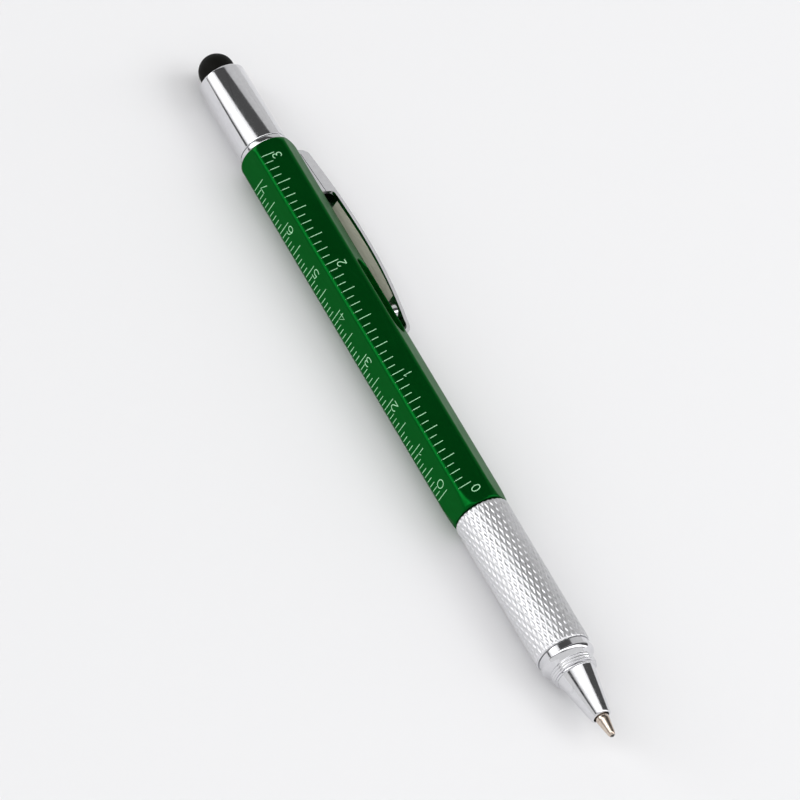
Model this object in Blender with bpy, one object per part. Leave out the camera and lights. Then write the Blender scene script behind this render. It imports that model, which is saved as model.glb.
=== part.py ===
"""Multi tool pen: a hexagonal barrel with two rulers, a spirit level, a stylus cap over a screwdriver bit and
a twist ballpoint.

The pen lies along X with its nib at +X. Its own frame has the pen's axis along X and the inch scale's face up.
An empty rolls it to the way it lies on a table: on one corner of the barrel and the clip's outer edge.
"""

import math

import bmesh
import bpy
from mathutils import Matrix

# Lengths along the pen, from the stylus to the nib
STYLUS_RADIUS = 0.0033
STYLUS_STRAIGHT = 0.00185
CAP_LENGTH = 0.01675
NECK_LENGTH = 0.0010
BARREL_LENGTH = 0.0816
GRIP_GAP = 0.0003
GRIP_LENGTH = 0.02945
COLLAR_LENGTH = 0.0013
FLANGE_LENGTH = 0.0003
FLANGE_SLOPE = 0.00115
RIB_PITCH = 0.00053
RIB_COUNT = 3
END_RING_LENGTH = 0.00031
CONE_LENGTH = 0.0088
TIP_PROUD = 0.0041

# Barrel
HEX_FLATS = 0.0095
CORNER_RADIUS = 0.0005
BORE_RADIUS = 0.0038
TOP_END_RADIUS = 0.00445
TOP_ROUND_LENGTH = 0.0018
NIB_END_RADIUS = 0.0047
NIB_ROUND_LENGTH = 0.0011

# Cap and stylus
CAP_MOUTH_RADIUS = 0.0045
CAP_END_RADIUS = 0.0044
CAP_RIM_ROUND = 0.0005
CAP_BORE_RADIUS = 0.00375
CAP_WEB = 0.0009
STYLUS_SEAT_DEPTH = 0.0030
STYLUS_WALL = 0.0009
NECK_RADIUS = 0.0044
STUB_LENGTH = 0.0040
THREAD_CREST = 0.00365
THREAD_DEPTH = 0.00025
THREAD_PITCH = 0.0010

# Screwdriver bit and its holder
BIT_FLATS = 0.0040
BIT_LENGTH = 0.0280
SPACE_BEFORE_BIT = 0.0022
BIT_HEX_LENGTH = 0.0120
BIT_SHANK_RADIUS = 0.0017
BIT_TIP_LENGTH = 0.0030
BIT_POINT_RADIUS = 0.0005
FLUTE_WIDTH = 0.0011
FLUTE_BITE = 0.00045
BLADE_THICKNESS = 0.0006
HOLDER_END_WALL = 0.00135
MAGNET_RADIUS = 0.0018
MAGNET_LENGTH = 0.0020

# Clip
CLIP_SETBACK = 0.00115
CLIP_LENGTH = 0.04225
CLIP_WIDTH = 0.0045
CLIP_THICKNESS = 0.0007
CLIP_HEIGHT = 0.00425
CLIP_START_HEIGHT = 0.00235
CLIP_NOSE_ROUND = 0.0010
CLIP_PEAK_SHARE = 0.498
FOOT_LENGTH = 0.0098
FOOT_FRONT_WALL = 0.0012
CURL_LENGTH = 0.0028
CURL_HEIGHT = 0.00215
CLIP_SEAT = 0.0002
DIMPLE_FROM_TIP = 0.0059
DIMPLE_RADIUS = 0.0018
DIMPLE_END_RADIUS = 0.0007
DIMPLE_GAP = 0.0003
TONGUE_WIDTH = 0.0020
TONGUE_THICKNESS = 0.0008
TOE_LENGTH = 0.0006
TOE_THICKNESS = 0.0006
HOOK_CLEARANCE = 0.0002

# Spirit level
WINDOW_LENGTH = 0.0164
WINDOW_WIDTH = 0.0041
LEVEL_SPACE_SHARE = 0.32987
VIAL_RADIUS = 0.0026
VIAL_BORE_RADIUS = 0.0019
VIAL_LENGTH = 0.0182
VIAL_OFFSET = 0.0010
VIAL_END_WALL = 0.0010
PLUG_LENGTH = 0.0022
BUBBLE_LENGTH = 0.0056
BUBBLE_WIDTH = 0.0024
BUBBLE_DEPTH = 0.0009
LINE_SPAN = 0.0064
LINE_WIDTH = 0.0005
LINE_THICKNESS = 0.00008

# Twist mechanism and refill
RETRACT_TRAVEL = 0.0050
RETRACT_TURN_DEGREES = 180.0
CAM_SPACE_SHARE = 0.21558
REFILL_RADIUS = 0.001175
REFILL_WALL = 0.0003
TIP_RADIUS = 0.00115
TIP_STRAIGHT = 0.0006
TIP_BODY_LENGTH = 0.0098
TIP_SPIGOT_LENGTH = 0.0020
TIP_END_RADIUS = 0.0006
BALL_RADIUS = 0.0004
BALL_PROUD = 0.00025
INK_LENGTH = 0.0440
CARRIER_RADIUS = 0.0021
CARRIER_LENGTH = 0.0090
CARRIER_GRIP = 0.0050
LUG_RADIUS = 0.00055
LUG_REACH = 0.0035
LUG_FROM_REFILL = 0.0021
SLEEVE_RADIUS = 0.00275
SLEEVE_WALL = 0.00055
SLEEVE_IN_GRIP = 0.0080
SLEEVE_PAST_SLOT = 0.0018
CAM_WALL = 0.00085
CAM_END_WALL = 0.0035
SPIGOT_LENGTH = 0.0092
SPIGOT_RADIUS = 0.0033
BUSH_LENGTH = 0.0082
BUSH_RADIUS = 0.00375
FRICTION_RING_RADIUS = 0.00022

# Grip and nose
GRIP_RADIUS = 0.00495
GRIP_EDGE = 0.00015
GRIP_BORE_RADIUS = 0.0031
THREAD_BORE_RADIUS = 0.0035
THREAD_BORE_DEPTH = 0.0080
NOSE_SPIGOT_LENGTH = 0.0075
COLLAR_RADIUS = 0.00465
FLANGE_RADIUS = 0.00485
RIB_RADIUS = 0.0041
RIB_DEPTH = 0.00025
END_RING_RADIUS = 0.00383
CONE_BASE_RADIUS = 0.00345
CONE_END_RADIUS = 0.00175
NOSE_BORE_RADIUS = 0.00135
NOSE_MOUTH_RADIUS = 0.00142
NOSE_MOUTH_LENGTH = 0.0010

# Clearances and mesh steps
SEAT_GAP = 0.00005
PRESS_GAP = 0.00006
RUNNING_GAP = 0.00006
DROP_IN_GAP = 0.00010
OVERRUN = 0.0010
MERGE_DISTANCE = 0.000001
ROUND_STEPS = 32
SMALL_STEPS = 20
RING_SIDES = 6
CORNER_STEPS = 3
ARC_STEPS = 5
HELIX_STEPS = 40
FULL_TURN = 2.0 * math.pi
SMOOTH_ANGLE = math.radians(30.0)

# Faces of the hexagon, counted from the inch scale's face towards the clip's side
LEVEL_FACE = 1
CLIP_FACE = 2
FACE_STEP = math.pi / 3.0
HALF_FACE = math.pi / 6.0

# Lengths that follow: the bit stands in the cap's bore, and the barrel's free length is shared out
# between the tool holder, the level, the cam tube and the grip's spigot
STYLUS_PROUD = STYLUS_STRAIGHT + STYLUS_RADIUS
CAP_BORE_START = STYLUS_SEAT_DEPTH + CAP_WEB
BIT_PROUD = CAP_LENGTH + NECK_LENGTH - CAP_BORE_START - SPACE_BEFORE_BIT
HOLDER_LENGTH = BIT_LENGTH - BIT_PROUD + SEAT_GAP + MAGNET_LENGTH + HOLDER_END_WALL
VIAL_HOLDER_LENGTH = VIAL_LENGTH + 2.0 * (VIAL_END_WALL + DROP_IN_GAP)
SLOT_HALF = LUG_RADIUS + DROP_IN_GAP
CAM_BEFORE_LUG = RETRACT_TRAVEL + SLOT_HALF + CAM_END_WALL
CAM_AFTER_LUG = SLOT_HALF + CAM_END_WALL
FREE_LENGTH = (BARREL_LENGTH - HOLDER_LENGTH - VIAL_HOLDER_LENGTH - CAM_BEFORE_LUG - CAM_AFTER_LUG
               - SPIGOT_LENGTH + GRIP_GAP)
LEVEL_FROM_TOP = HOLDER_LENGTH + FREE_LENGTH * LEVEL_SPACE_SHARE
WINDOW_FROM_TOP = LEVEL_FROM_TOP + (VIAL_HOLDER_LENGTH - WINDOW_LENGTH) / 2.0
LUG_FROM_TOP = LEVEL_FROM_TOP + VIAL_HOLDER_LENGTH + FREE_LENGTH * CAM_SPACE_SHARE + CAM_BEFORE_LUG
RIBS_LENGTH = RIB_COUNT * RIB_PITCH
NOSE_LENGTH = COLLAR_LENGTH + FLANGE_LENGTH + FLANGE_SLOPE + RIBS_LENGTH + END_RING_LENGTH + CONE_LENGTH
CLIP_PEAK_AT = CLIP_LENGTH * CLIP_PEAK_SHARE
DIMPLE_AT = CLIP_LENGTH - DIMPLE_FROM_TIP
TOTAL_LENGTH = (STYLUS_PROUD + CAP_LENGTH + NECK_LENGTH + BARREL_LENGTH + GRIP_GAP + GRIP_LENGTH
                + NOSE_LENGTH + TIP_PROUD)

# Stations along the pen, with the middle of its length at zero
CAP_START = STYLUS_PROUD - TOTAL_LENGTH / 2.0
BARREL_START = CAP_START + CAP_LENGTH + NECK_LENGTH
BARREL_END = BARREL_START + BARREL_LENGTH
GRIP_START = BARREL_END + GRIP_GAP
NOSE_START = GRIP_START + GRIP_LENGTH
NOSE_END = NOSE_START + NOSE_LENGTH
TIP_END = NOSE_END + TIP_PROUD
LUG_STATION = BARREL_START + LUG_FROM_TOP
REFILL_START = LUG_STATION + LUG_FROM_REFILL
REFILL_LENGTH = TIP_END - REFILL_START
CLIP_START = BARREL_START + CLIP_SETBACK
WINDOW_START = BARREL_START + WINDOW_FROM_TOP
RETRACT_TURN = math.radians(RETRACT_TURN_DEGREES)

# How the pen lies: a line under the barrel's corner and the clip's outer edge is level
CORNER_CENTRE = (HEX_FLATS / 2.0 - CORNER_RADIUS) / math.cos(HALF_FACE)
REST_CORNER_ANGLE = 3.5 * FACE_STEP
CLIP_FACE_ANGLE = CLIP_FACE * FACE_STEP
CLIP_OUTER = HEX_FLATS / 2.0 + CLIP_HEIGHT


def on_clip_face(across, out):
    """Y and Z in the pen's frame of a point on the clip's face, across it and out from the axis."""
    y = out * math.sin(CLIP_FACE_ANGLE) + across * math.cos(CLIP_FACE_ANGLE)
    z = out * math.cos(CLIP_FACE_ANGLE) - across * math.sin(CLIP_FACE_ANGLE)
    return y, z


def lie_of_pen():
    """Roll about X and the axis's Y and Z, with the pen's box centred over the origin and its foot at z = 0."""
    corner_y = CORNER_CENTRE * math.sin(REST_CORNER_ANGLE)
    corner_z = CORNER_CENTRE * math.cos(REST_CORNER_ANGLE)
    edge_y, edge_z = on_clip_face(CLIP_WIDTH / 2.0, CLIP_OUTER)
    reach = math.hypot(edge_y - corner_y, edge_z - corner_z)
    roll = math.atan2(corner_z - edge_z, edge_y - corner_y) - math.asin(CORNER_RADIUS / reach)
    axis_z = CORNER_RADIUS - (corner_y * math.sin(roll) + corner_z * math.cos(roll))
    side = CORNER_CENTRE * math.cos(roll) + CORNER_RADIUS
    upper_y, upper_z = on_clip_face(-CLIP_WIDTH / 2.0, CLIP_OUTER)
    clip_side = upper_y * math.cos(roll) - upper_z * math.sin(roll)
    axis_y = (max(side, GRIP_RADIUS) - clip_side) / 2.0
    return roll, axis_y, axis_z


# Tools for making pieces

def clear_scene():
    for item in list(bpy.data.objects):
        bpy.data.objects.remove(item, do_unlink=True)


def make_material(name, colour, roughness, metallic):
    material = bpy.data.materials.new(name)
    material.use_nodes = True
    shader = material.node_tree.nodes["Principled BSDF"]
    shader.inputs["Base Color"].default_value = (*colour, 1.0)
    shader.inputs["Roughness"].default_value = roughness
    shader.inputs["Metallic"].default_value = metallic
    material.diffuse_color = (*colour, 1.0)
    return material


def add_object(name, bm, material, location=(0.0, 0.0, 0.0), face=0):
    """An object in the pen's frame, turned about X so that its +Z is the normal of a face of the barrel."""
    bmesh.ops.remove_doubles(bm, verts=bm.verts, dist=MERGE_DISTANCE)
    bmesh.ops.recalc_face_normals(bm, faces=bm.faces)
    mesh = bpy.data.meshes.new(name)
    bm.to_mesh(mesh)
    bm.free()
    mesh.shade_smooth()
    mesh.set_sharp_from_angle(angle=SMOOTH_ANGLE)
    item = bpy.data.objects.new(name, mesh)
    bpy.context.scene.collection.objects.link(item)
    if material is not None:
        mesh.materials.append(material)
    item.parent = bpy.data.objects["pen_axis"]
    item.location = location
    item.rotation_euler.x = -face * FACE_STEP
    return item


def combine(item, tool, operation):
    """Adds a Boolean of a guide shape, which stays hidden."""
    tool.hide_render = True
    tool.display_type = "WIRE"
    modifier = item.modifiers.new(tool.name, "BOOLEAN")
    modifier.operation = operation
    modifier.object = tool


def turned(outline, steps=ROUND_STEPS):
    """A solid turned about X from points (x, radius): a loop, or a line that starts and ends on the axis."""
    bm = bmesh.new()
    points = [bm.verts.new((x, 0.0, radius)) for x, radius in outline]
    edges = [bm.edges.new(pair) for pair in zip(points, points[1:])]
    if outline[0][1] > 0.0:
        edges.append(bm.edges.new((points[-1], points[0])))
    bmesh.ops.spin(bm, geom=points + edges, cent=(0.0, 0.0, 0.0), axis=(1.0, 0.0, 0.0),
                   angle=FULL_TURN, steps=steps, use_merge=True)
    return bm


def tube(start, end, inner, outer):
    return [(start, inner), (start, outer), (end, outer), (end, inner)]


def rod(start, end, radius):
    return [(start, 0.0), (start, radius), (end, radius), (end, 0.0)]


def quarter(centre_x, centre_r, length, height, start_angle, end_angle):
    """Points of an ellipse's arc, with the angle counted from +x towards +radius."""
    points = []
    for step in range(ARC_STEPS + 1):
        angle = start_angle + (end_angle - start_angle) * step / ARC_STEPS
        points.append((centre_x + length * math.cos(angle), centre_r + height * math.sin(angle)))
    return points


def prism_along_x(outline, length, start=0.0):
    """An outline of points (y, z) drawn out along X."""
    bm = bmesh.new()
    face = bm.faces.new([bm.verts.new((start, y, z)) for y, z in outline])
    extruded = bmesh.ops.extrude_face_region(bm, geom=[face])
    moved = [part for part in extruded["geom"] if isinstance(part, bmesh.types.BMVert)]
    bmesh.ops.translate(bm, verts=moved, vec=(length, 0.0, 0.0))
    return bm


def prism_across(outline, width):
    """An outline of points (x, z) drawn out along Y, with its middle at y = 0."""
    bm = bmesh.new()
    face = bm.faces.new([bm.verts.new((x, -width / 2.0, z)) for x, z in outline])
    extruded = bmesh.ops.extrude_face_region(bm, geom=[face])
    moved = [part for part in extruded["geom"] if isinstance(part, bmesh.types.BMVert)]
    bmesh.ops.translate(bm, verts=moved, vec=(0.0, width, 0.0))
    return bm


def prism_up(outline, low, high):
    """An outline of points (x, y) drawn up along Z."""
    bm = bmesh.new()
    face = bm.faces.new([bm.verts.new((x, y, low)) for x, y in outline])
    extruded = bmesh.ops.extrude_face_region(bm, geom=[face])
    moved = [part for part in extruded["geom"] if isinstance(part, bmesh.types.BMVert)]
    bmesh.ops.translate(bm, verts=moved, vec=(0.0, 0.0, high - low))
    return bm


def block(x_range, y_range, z_range):
    corners = [(x_range[0], y_range[0]), (x_range[1], y_range[0]),
               (x_range[1], y_range[1]), (x_range[0], y_range[1])]
    return prism_up(corners, *z_range)


def hexagon(flats, corner_radius=0.0, first_corner=HALF_FACE):
    """A hexagon's points (y, z), its corners rounded where a radius is given."""
    centre = (flats / 2.0 - corner_radius) / math.cos(HALF_FACE)
    steps = CORNER_STEPS if corner_radius > 0.0 else 0
    points = []
    for corner in range(6):
        middle = first_corner + corner * FACE_STEP
        for step in range(steps + 1):
            share = step / steps if steps else 0.5
            angle = middle + (share - 0.5) * FACE_STEP
            points.append((centre * math.sin(middle) + corner_radius * math.sin(angle),
                           centre * math.cos(middle) + corner_radius * math.cos(angle)))
    return points


# Barrel

def barrel_envelope():
    """The outline of the turned shape that rounds the hexagon's two ends."""
    outer = CORNER_CENTRE + CORNER_RADIUS + OVERRUN
    top = quarter(TOP_ROUND_LENGTH, TOP_END_RADIUS, TOP_ROUND_LENGTH,
                  CORNER_CENTRE + CORNER_RADIUS - TOP_END_RADIUS, math.pi, math.pi / 2.0)
    nib = quarter(BARREL_LENGTH - NIB_ROUND_LENGTH, NIB_END_RADIUS, NIB_ROUND_LENGTH,
                  CORNER_CENTRE + CORNER_RADIUS - NIB_END_RADIUS, math.pi / 2.0, 0.0)
    outline = [(0.0, 0.0)] + top
    outline += [(TOP_ROUND_LENGTH, outer), (BARREL_LENGTH - NIB_ROUND_LENGTH, outer)]
    return outline + nib + [(BARREL_LENGTH, 0.0)]


def window_outline(length, width):
    """A slot's outline (x, y) with round ends, its near end at x = 0."""
    radius = width / 2.0
    points = []
    for centre, start in ((length - radius, -math.pi / 2.0), (radius, math.pi / 2.0)):
        for step in range(2 * ARC_STEPS + 1):
            angle = start + math.pi * step / (2 * ARC_STEPS)
            points.append((centre + radius * math.cos(angle), radius * math.sin(angle)))
    return points


def make_barrel(green):
    place = (BARREL_START, 0.0, 0.0)
    hexagonal_bar = prism_along_x(hexagon(HEX_FLATS, CORNER_RADIUS), BARREL_LENGTH + 2.0 * OVERRUN, -OVERRUN)
    barrel = add_object("barrel", hexagonal_bar, green, place)
    bore = turned(rod(-2.0 * OVERRUN, BARREL_LENGTH + 2.0 * OVERRUN, BORE_RADIUS))
    combine(barrel, add_object("barrel_bore", bore, None, place), "DIFFERENCE")
    window = prism_up(window_outline(WINDOW_LENGTH, WINDOW_WIDTH), BORE_RADIUS / 2.0,
                      HEX_FLATS / 2.0 + OVERRUN)
    window_place = (WINDOW_START, 0.0, 0.0)
    combine(barrel, add_object("level_window", window, None, window_place, LEVEL_FACE), "DIFFERENCE")
    slot_end = FOOT_FRONT_WALL + TONGUE_THICKNESS + TOE_LENGTH + HOOK_CLEARANCE
    half = TONGUE_WIDTH / 2.0 + HOOK_CLEARANCE
    slot = block((FOOT_FRONT_WALL - CLIP_THICKNESS / 2.0 - HOOK_CLEARANCE, slot_end), (-half, half),
                 (BORE_RADIUS / 2.0, HEX_FLATS / 2.0 + OVERRUN))
    combine(barrel, add_object("clip_slot", slot, None, (CLIP_START, 0.0, 0.0), CLIP_FACE), "DIFFERENCE")
    combine(barrel, add_object("barrel_envelope", turned(barrel_envelope()), None, place), "INTERSECT")


# Cap, stylus and screwdriver

def make_cap(chrome):
    body_end = CAP_LENGTH - SEAT_GAP
    rim = quarter(CAP_RIM_ROUND, CAP_END_RADIUS - CAP_RIM_ROUND, CAP_RIM_ROUND, CAP_RIM_ROUND,
                  math.pi, math.pi / 2.0)
    seat_radius = STYLUS_RADIUS + PRESS_GAP
    outline = [(STYLUS_SEAT_DEPTH, 0.0), (STYLUS_SEAT_DEPTH, seat_radius), (0.0, seat_radius)] + rim
    outline += [(body_end, CAP_MOUTH_RADIUS), (body_end, CAP_BORE_RADIUS)]
    outline += [(CAP_BORE_START, CAP_BORE_RADIUS), (CAP_BORE_START, 0.0)]
    add_object("stylus_cap", turned(outline), chrome, (CAP_START, 0.0, 0.0))


def make_stylus(rubber):
    back = STYLUS_SEAT_DEPTH - SEAT_GAP
    inner = STYLUS_RADIUS - STYLUS_WALL
    outer_dome = quarter(-STYLUS_STRAIGHT, 0.0, STYLUS_RADIUS, STYLUS_RADIUS, math.pi, math.pi / 2.0)
    inner_dome = quarter(-STYLUS_STRAIGHT, 0.0, inner, inner, math.pi / 2.0, math.pi)
    outline = [(-STYLUS_PROUD, 0.0)] + outer_dome[1:]
    outline += [(back, STYLUS_RADIUS), (back, inner)] + inner_dome[:-1] + [(-STYLUS_STRAIGHT - inner, 0.0)]
    add_object("stylus_tip", turned(outline), rubber, (CAP_START, 0.0, 0.0))


def make_tool_holder(chrome):
    """Neck ring, threaded stub for the cap and the hexagon socket in one turned piece."""
    start = -NECK_LENGTH - STUB_LENGTH
    outline = [(start, 0.0)]
    turns = int(STUB_LENGTH / THREAD_PITCH)
    pitch = STUB_LENGTH / turns
    for turn in range(turns):
        root = start + turn * pitch
        outline += [(root, THREAD_CREST - THREAD_DEPTH), (root + pitch / 2.0, THREAD_CREST)]
    ring_start = -NECK_LENGTH
    outline += [(ring_start, THREAD_CREST - THREAD_DEPTH), (ring_start, NECK_RADIUS)]
    outline += [(-SEAT_GAP, NECK_RADIUS), (-SEAT_GAP, BORE_RADIUS - DROP_IN_GAP)]
    outline += [(HOLDER_LENGTH, BORE_RADIUS - DROP_IN_GAP)]
    outline += [(HOLDER_LENGTH, 0.0)]
    holder = add_object("tool_holder", turned(outline), chrome, (BARREL_START, 0.0, 0.0))
    hole = prism_along_x(hexagon(BIT_FLATS + 2.0 * RUNNING_GAP, first_corner=0.0),
                         HOLDER_LENGTH + NECK_LENGTH + STUB_LENGTH + 2.0 * OVERRUN, start - OVERRUN)
    combine(holder, add_object("bit_hole", hole, None, (BARREL_START, 0.0, 0.0)), "DIFFERENCE")
    toe_bottom = HEX_FLATS / 2.0 - hook_depth() - HOOK_CLEARANCE
    half = TONGUE_WIDTH / 2.0 + 2.0 * HOOK_CLEARANCE
    notch_end = CLIP_SETBACK + FOOT_FRONT_WALL + TONGUE_THICKNESS + TOE_LENGTH + 2.0 * HOOK_CLEARANCE
    notch = block((-SEAT_GAP / 2.0, notch_end), (-half, half), (toe_bottom, BORE_RADIUS + OVERRUN))
    combine(holder, add_object("hook_notch", notch, None, (BARREL_START, 0.0, 0.0), CLIP_FACE), "DIFFERENCE")


def make_bit(steel):
    """Double ended bit: a cross point outwards and a slotted blade in the holder."""
    hex_start = (BIT_LENGTH - BIT_HEX_LENGTH) / 2.0
    hex_end = hex_start + BIT_HEX_LENGTH
    place = (BARREL_START - BIT_PROUD, 0.0, 0.0)
    middle_part = prism_along_x(hexagon(BIT_FLATS, first_corner=0.0), BIT_HEX_LENGTH, hex_start)
    bit = add_object("screwdriver_bit", middle_part, steel, place)
    outline = [(0.0, 0.0), (0.0, BIT_POINT_RADIUS), (BIT_TIP_LENGTH, BIT_SHANK_RADIUS),
               (hex_end + OVERRUN, BIT_SHANK_RADIUS), (BIT_LENGTH, BIT_SHANK_RADIUS), (BIT_LENGTH, 0.0)]
    combine(bit, add_object("bit_shank", turned(outline, SMALL_STEPS), None, place), "UNION")
    for flute in range(4):
        bm = block((-OVERRUN, BIT_TIP_LENGTH), (FLUTE_BITE, FLUTE_BITE + FLUTE_WIDTH),
                   (FLUTE_BITE, FLUTE_BITE + FLUTE_WIDTH))
        bmesh.ops.rotate(bm, verts=bm.verts, cent=(0.0, 0.0, 0.0),
                         matrix=Matrix.Rotation(flute * math.pi / 2.0, 3, "X"))
        combine(bit, add_object(f"bit_flute_{flute}", bm, None, place), "DIFFERENCE")
    for side in (-1.0, 1.0):
        wedge = [(BIT_LENGTH - BIT_TIP_LENGTH, side * BIT_SHANK_RADIUS),
                 (BIT_LENGTH + OVERRUN, side * BLADE_THICKNESS / 2.0),
                 (BIT_LENGTH + OVERRUN, side * (BIT_SHANK_RADIUS + OVERRUN)),
                 (BIT_LENGTH - BIT_TIP_LENGTH, side * (BIT_SHANK_RADIUS + OVERRUN))]
        name = "blade_side_a" if side > 0.0 else "blade_side_b"
        wedge_solid = prism_across(wedge, 2.0 * (BIT_SHANK_RADIUS + OVERRUN))
        combine(bit, add_object(name, wedge_solid, None, place), "DIFFERENCE")


def make_magnet(steel):
    start = BIT_LENGTH - BIT_PROUD + SEAT_GAP
    outline = rod(start, start + MAGNET_LENGTH, MAGNET_RADIUS)
    add_object("bit_magnet", turned(outline, SMALL_STEPS), steel, (BARREL_START, 0.0, 0.0))


# Clip

def clip_top(x):
    """Height of the clip's outer side over its face of the barrel, as two halves of a bow."""
    if x < CLIP_PEAK_AT:
        share = (CLIP_PEAK_AT - x) / CLIP_PEAK_AT
        return CLIP_HEIGHT - (CLIP_HEIGHT - CLIP_START_HEIGHT) * share * share
    share = (x - CLIP_PEAK_AT) / (CLIP_LENGTH - CURL_LENGTH - CLIP_PEAK_AT)
    return CLIP_HEIGHT - (CLIP_HEIGHT - CURL_HEIGHT) * share * share


def clip_line(start, end, drop, steps=8):
    """Points (x, z) along the clip, a drop below its outer side."""
    points = []
    for step in range(steps + 1):
        x = start + (end - start) * step / steps
        points.append((x, clip_top(x) - drop))
    return points


def hook_depth():
    """How far the clip's toe reaches below the face, under the barrel's wall."""
    half = TONGUE_WIDTH / 2.0
    wall = HEX_FLATS / 2.0 - math.sqrt(BORE_RADIUS * BORE_RADIUS - half * half)
    return wall + HOOK_CLEARANCE + TOE_THICKNESS


def make_clip(chrome):
    curl_start = CLIP_LENGTH - CURL_LENGTH
    nose_height = clip_top(CLIP_NOSE_ROUND)
    outline = quarter(CLIP_NOSE_ROUND, CLIP_SEAT, CLIP_NOSE_ROUND, nose_height - CLIP_SEAT,
                      math.pi, math.pi / 2.0)
    outline += clip_line(CLIP_NOSE_ROUND, CLIP_PEAK_AT, 0.0)[1:]
    outline += clip_line(CLIP_PEAK_AT, curl_start, 0.0)[1:]
    outline += quarter(curl_start, CLIP_SEAT, CURL_LENGTH, CURL_HEIGHT - CLIP_SEAT, math.pi / 2.0, 0.0)[1:]
    outline += quarter(curl_start, CLIP_SEAT, CURL_LENGTH - CLIP_THICKNESS,
                       CURL_HEIGHT - CLIP_SEAT - CLIP_THICKNESS, 0.0, math.pi / 2.0)
    outline += clip_line(CLIP_PEAK_AT, curl_start, CLIP_THICKNESS)[-2::-1]
    outline += clip_line(FOOT_LENGTH, CLIP_PEAK_AT, CLIP_THICKNESS, 4)[-2::-1]
    outline += [(FOOT_LENGTH, CLIP_SEAT)]
    place = (CLIP_START, *on_clip_face(0.0, HEX_FLATS / 2.0 + CLIP_SEAT))
    pivot_outline = [(x, z - CLIP_SEAT) for x, z in outline]
    clip = add_object("clip", prism_across(pivot_outline, CLIP_WIDTH), chrome, place, CLIP_FACE)

    cavity = clip_line(FOOT_FRONT_WALL, FOOT_LENGTH, CLIP_THICKNESS, 4)
    cavity += [(FOOT_LENGTH + OVERRUN, clip_top(FOOT_LENGTH) - CLIP_THICKNESS),
               (FOOT_LENGTH + OVERRUN, -OVERRUN), (FOOT_FRONT_WALL, -OVERRUN)]
    cavity = [(x, z - CLIP_SEAT) for x, z in cavity]
    hollow = prism_across(cavity, CLIP_WIDTH - 2.0 * CLIP_THICKNESS)
    combine(clip, add_object("foot_hollow", hollow, None, place, CLIP_FACE), "DIFFERENCE")

    tongue_start = FOOT_FRONT_WALL - CLIP_THICKNESS / 2.0
    tongue_end = FOOT_FRONT_WALL + TONGUE_THICKNESS
    toe_start = tongue_start - TOE_LENGTH
    low = -hook_depth()
    hook = [(tongue_start, CLIP_START_HEIGHT / 2.0), (tongue_start, low + TOE_THICKNESS),
            (toe_start, low + TOE_THICKNESS), (toe_start, low), (tongue_end, low),
            (tongue_end, CLIP_START_HEIGHT / 2.0)]
    hook = [(x, z - CLIP_SEAT) for x, z in hook]
    combine(clip, add_object("clip_hook", prism_across(hook, TONGUE_WIDTH), None, place, CLIP_FACE), "UNION")

    bm = bmesh.new()
    top = clip_top(DIMPLE_AT) - CLIP_THICKNESS / 2.0
    height = top - DIMPLE_GAP
    bmesh.ops.create_cone(bm, cap_ends=True, segments=SMALL_STEPS, radius1=DIMPLE_END_RADIUS,
                          radius2=DIMPLE_RADIUS, depth=height)
    bmesh.ops.translate(bm, verts=bm.verts, vec=(DIMPLE_AT, 0.0, DIMPLE_GAP + height / 2.0 - CLIP_SEAT))
    combine(clip, add_object("clip_dimple", bm, None, place, CLIP_FACE), "UNION")


# Spirit level

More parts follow.
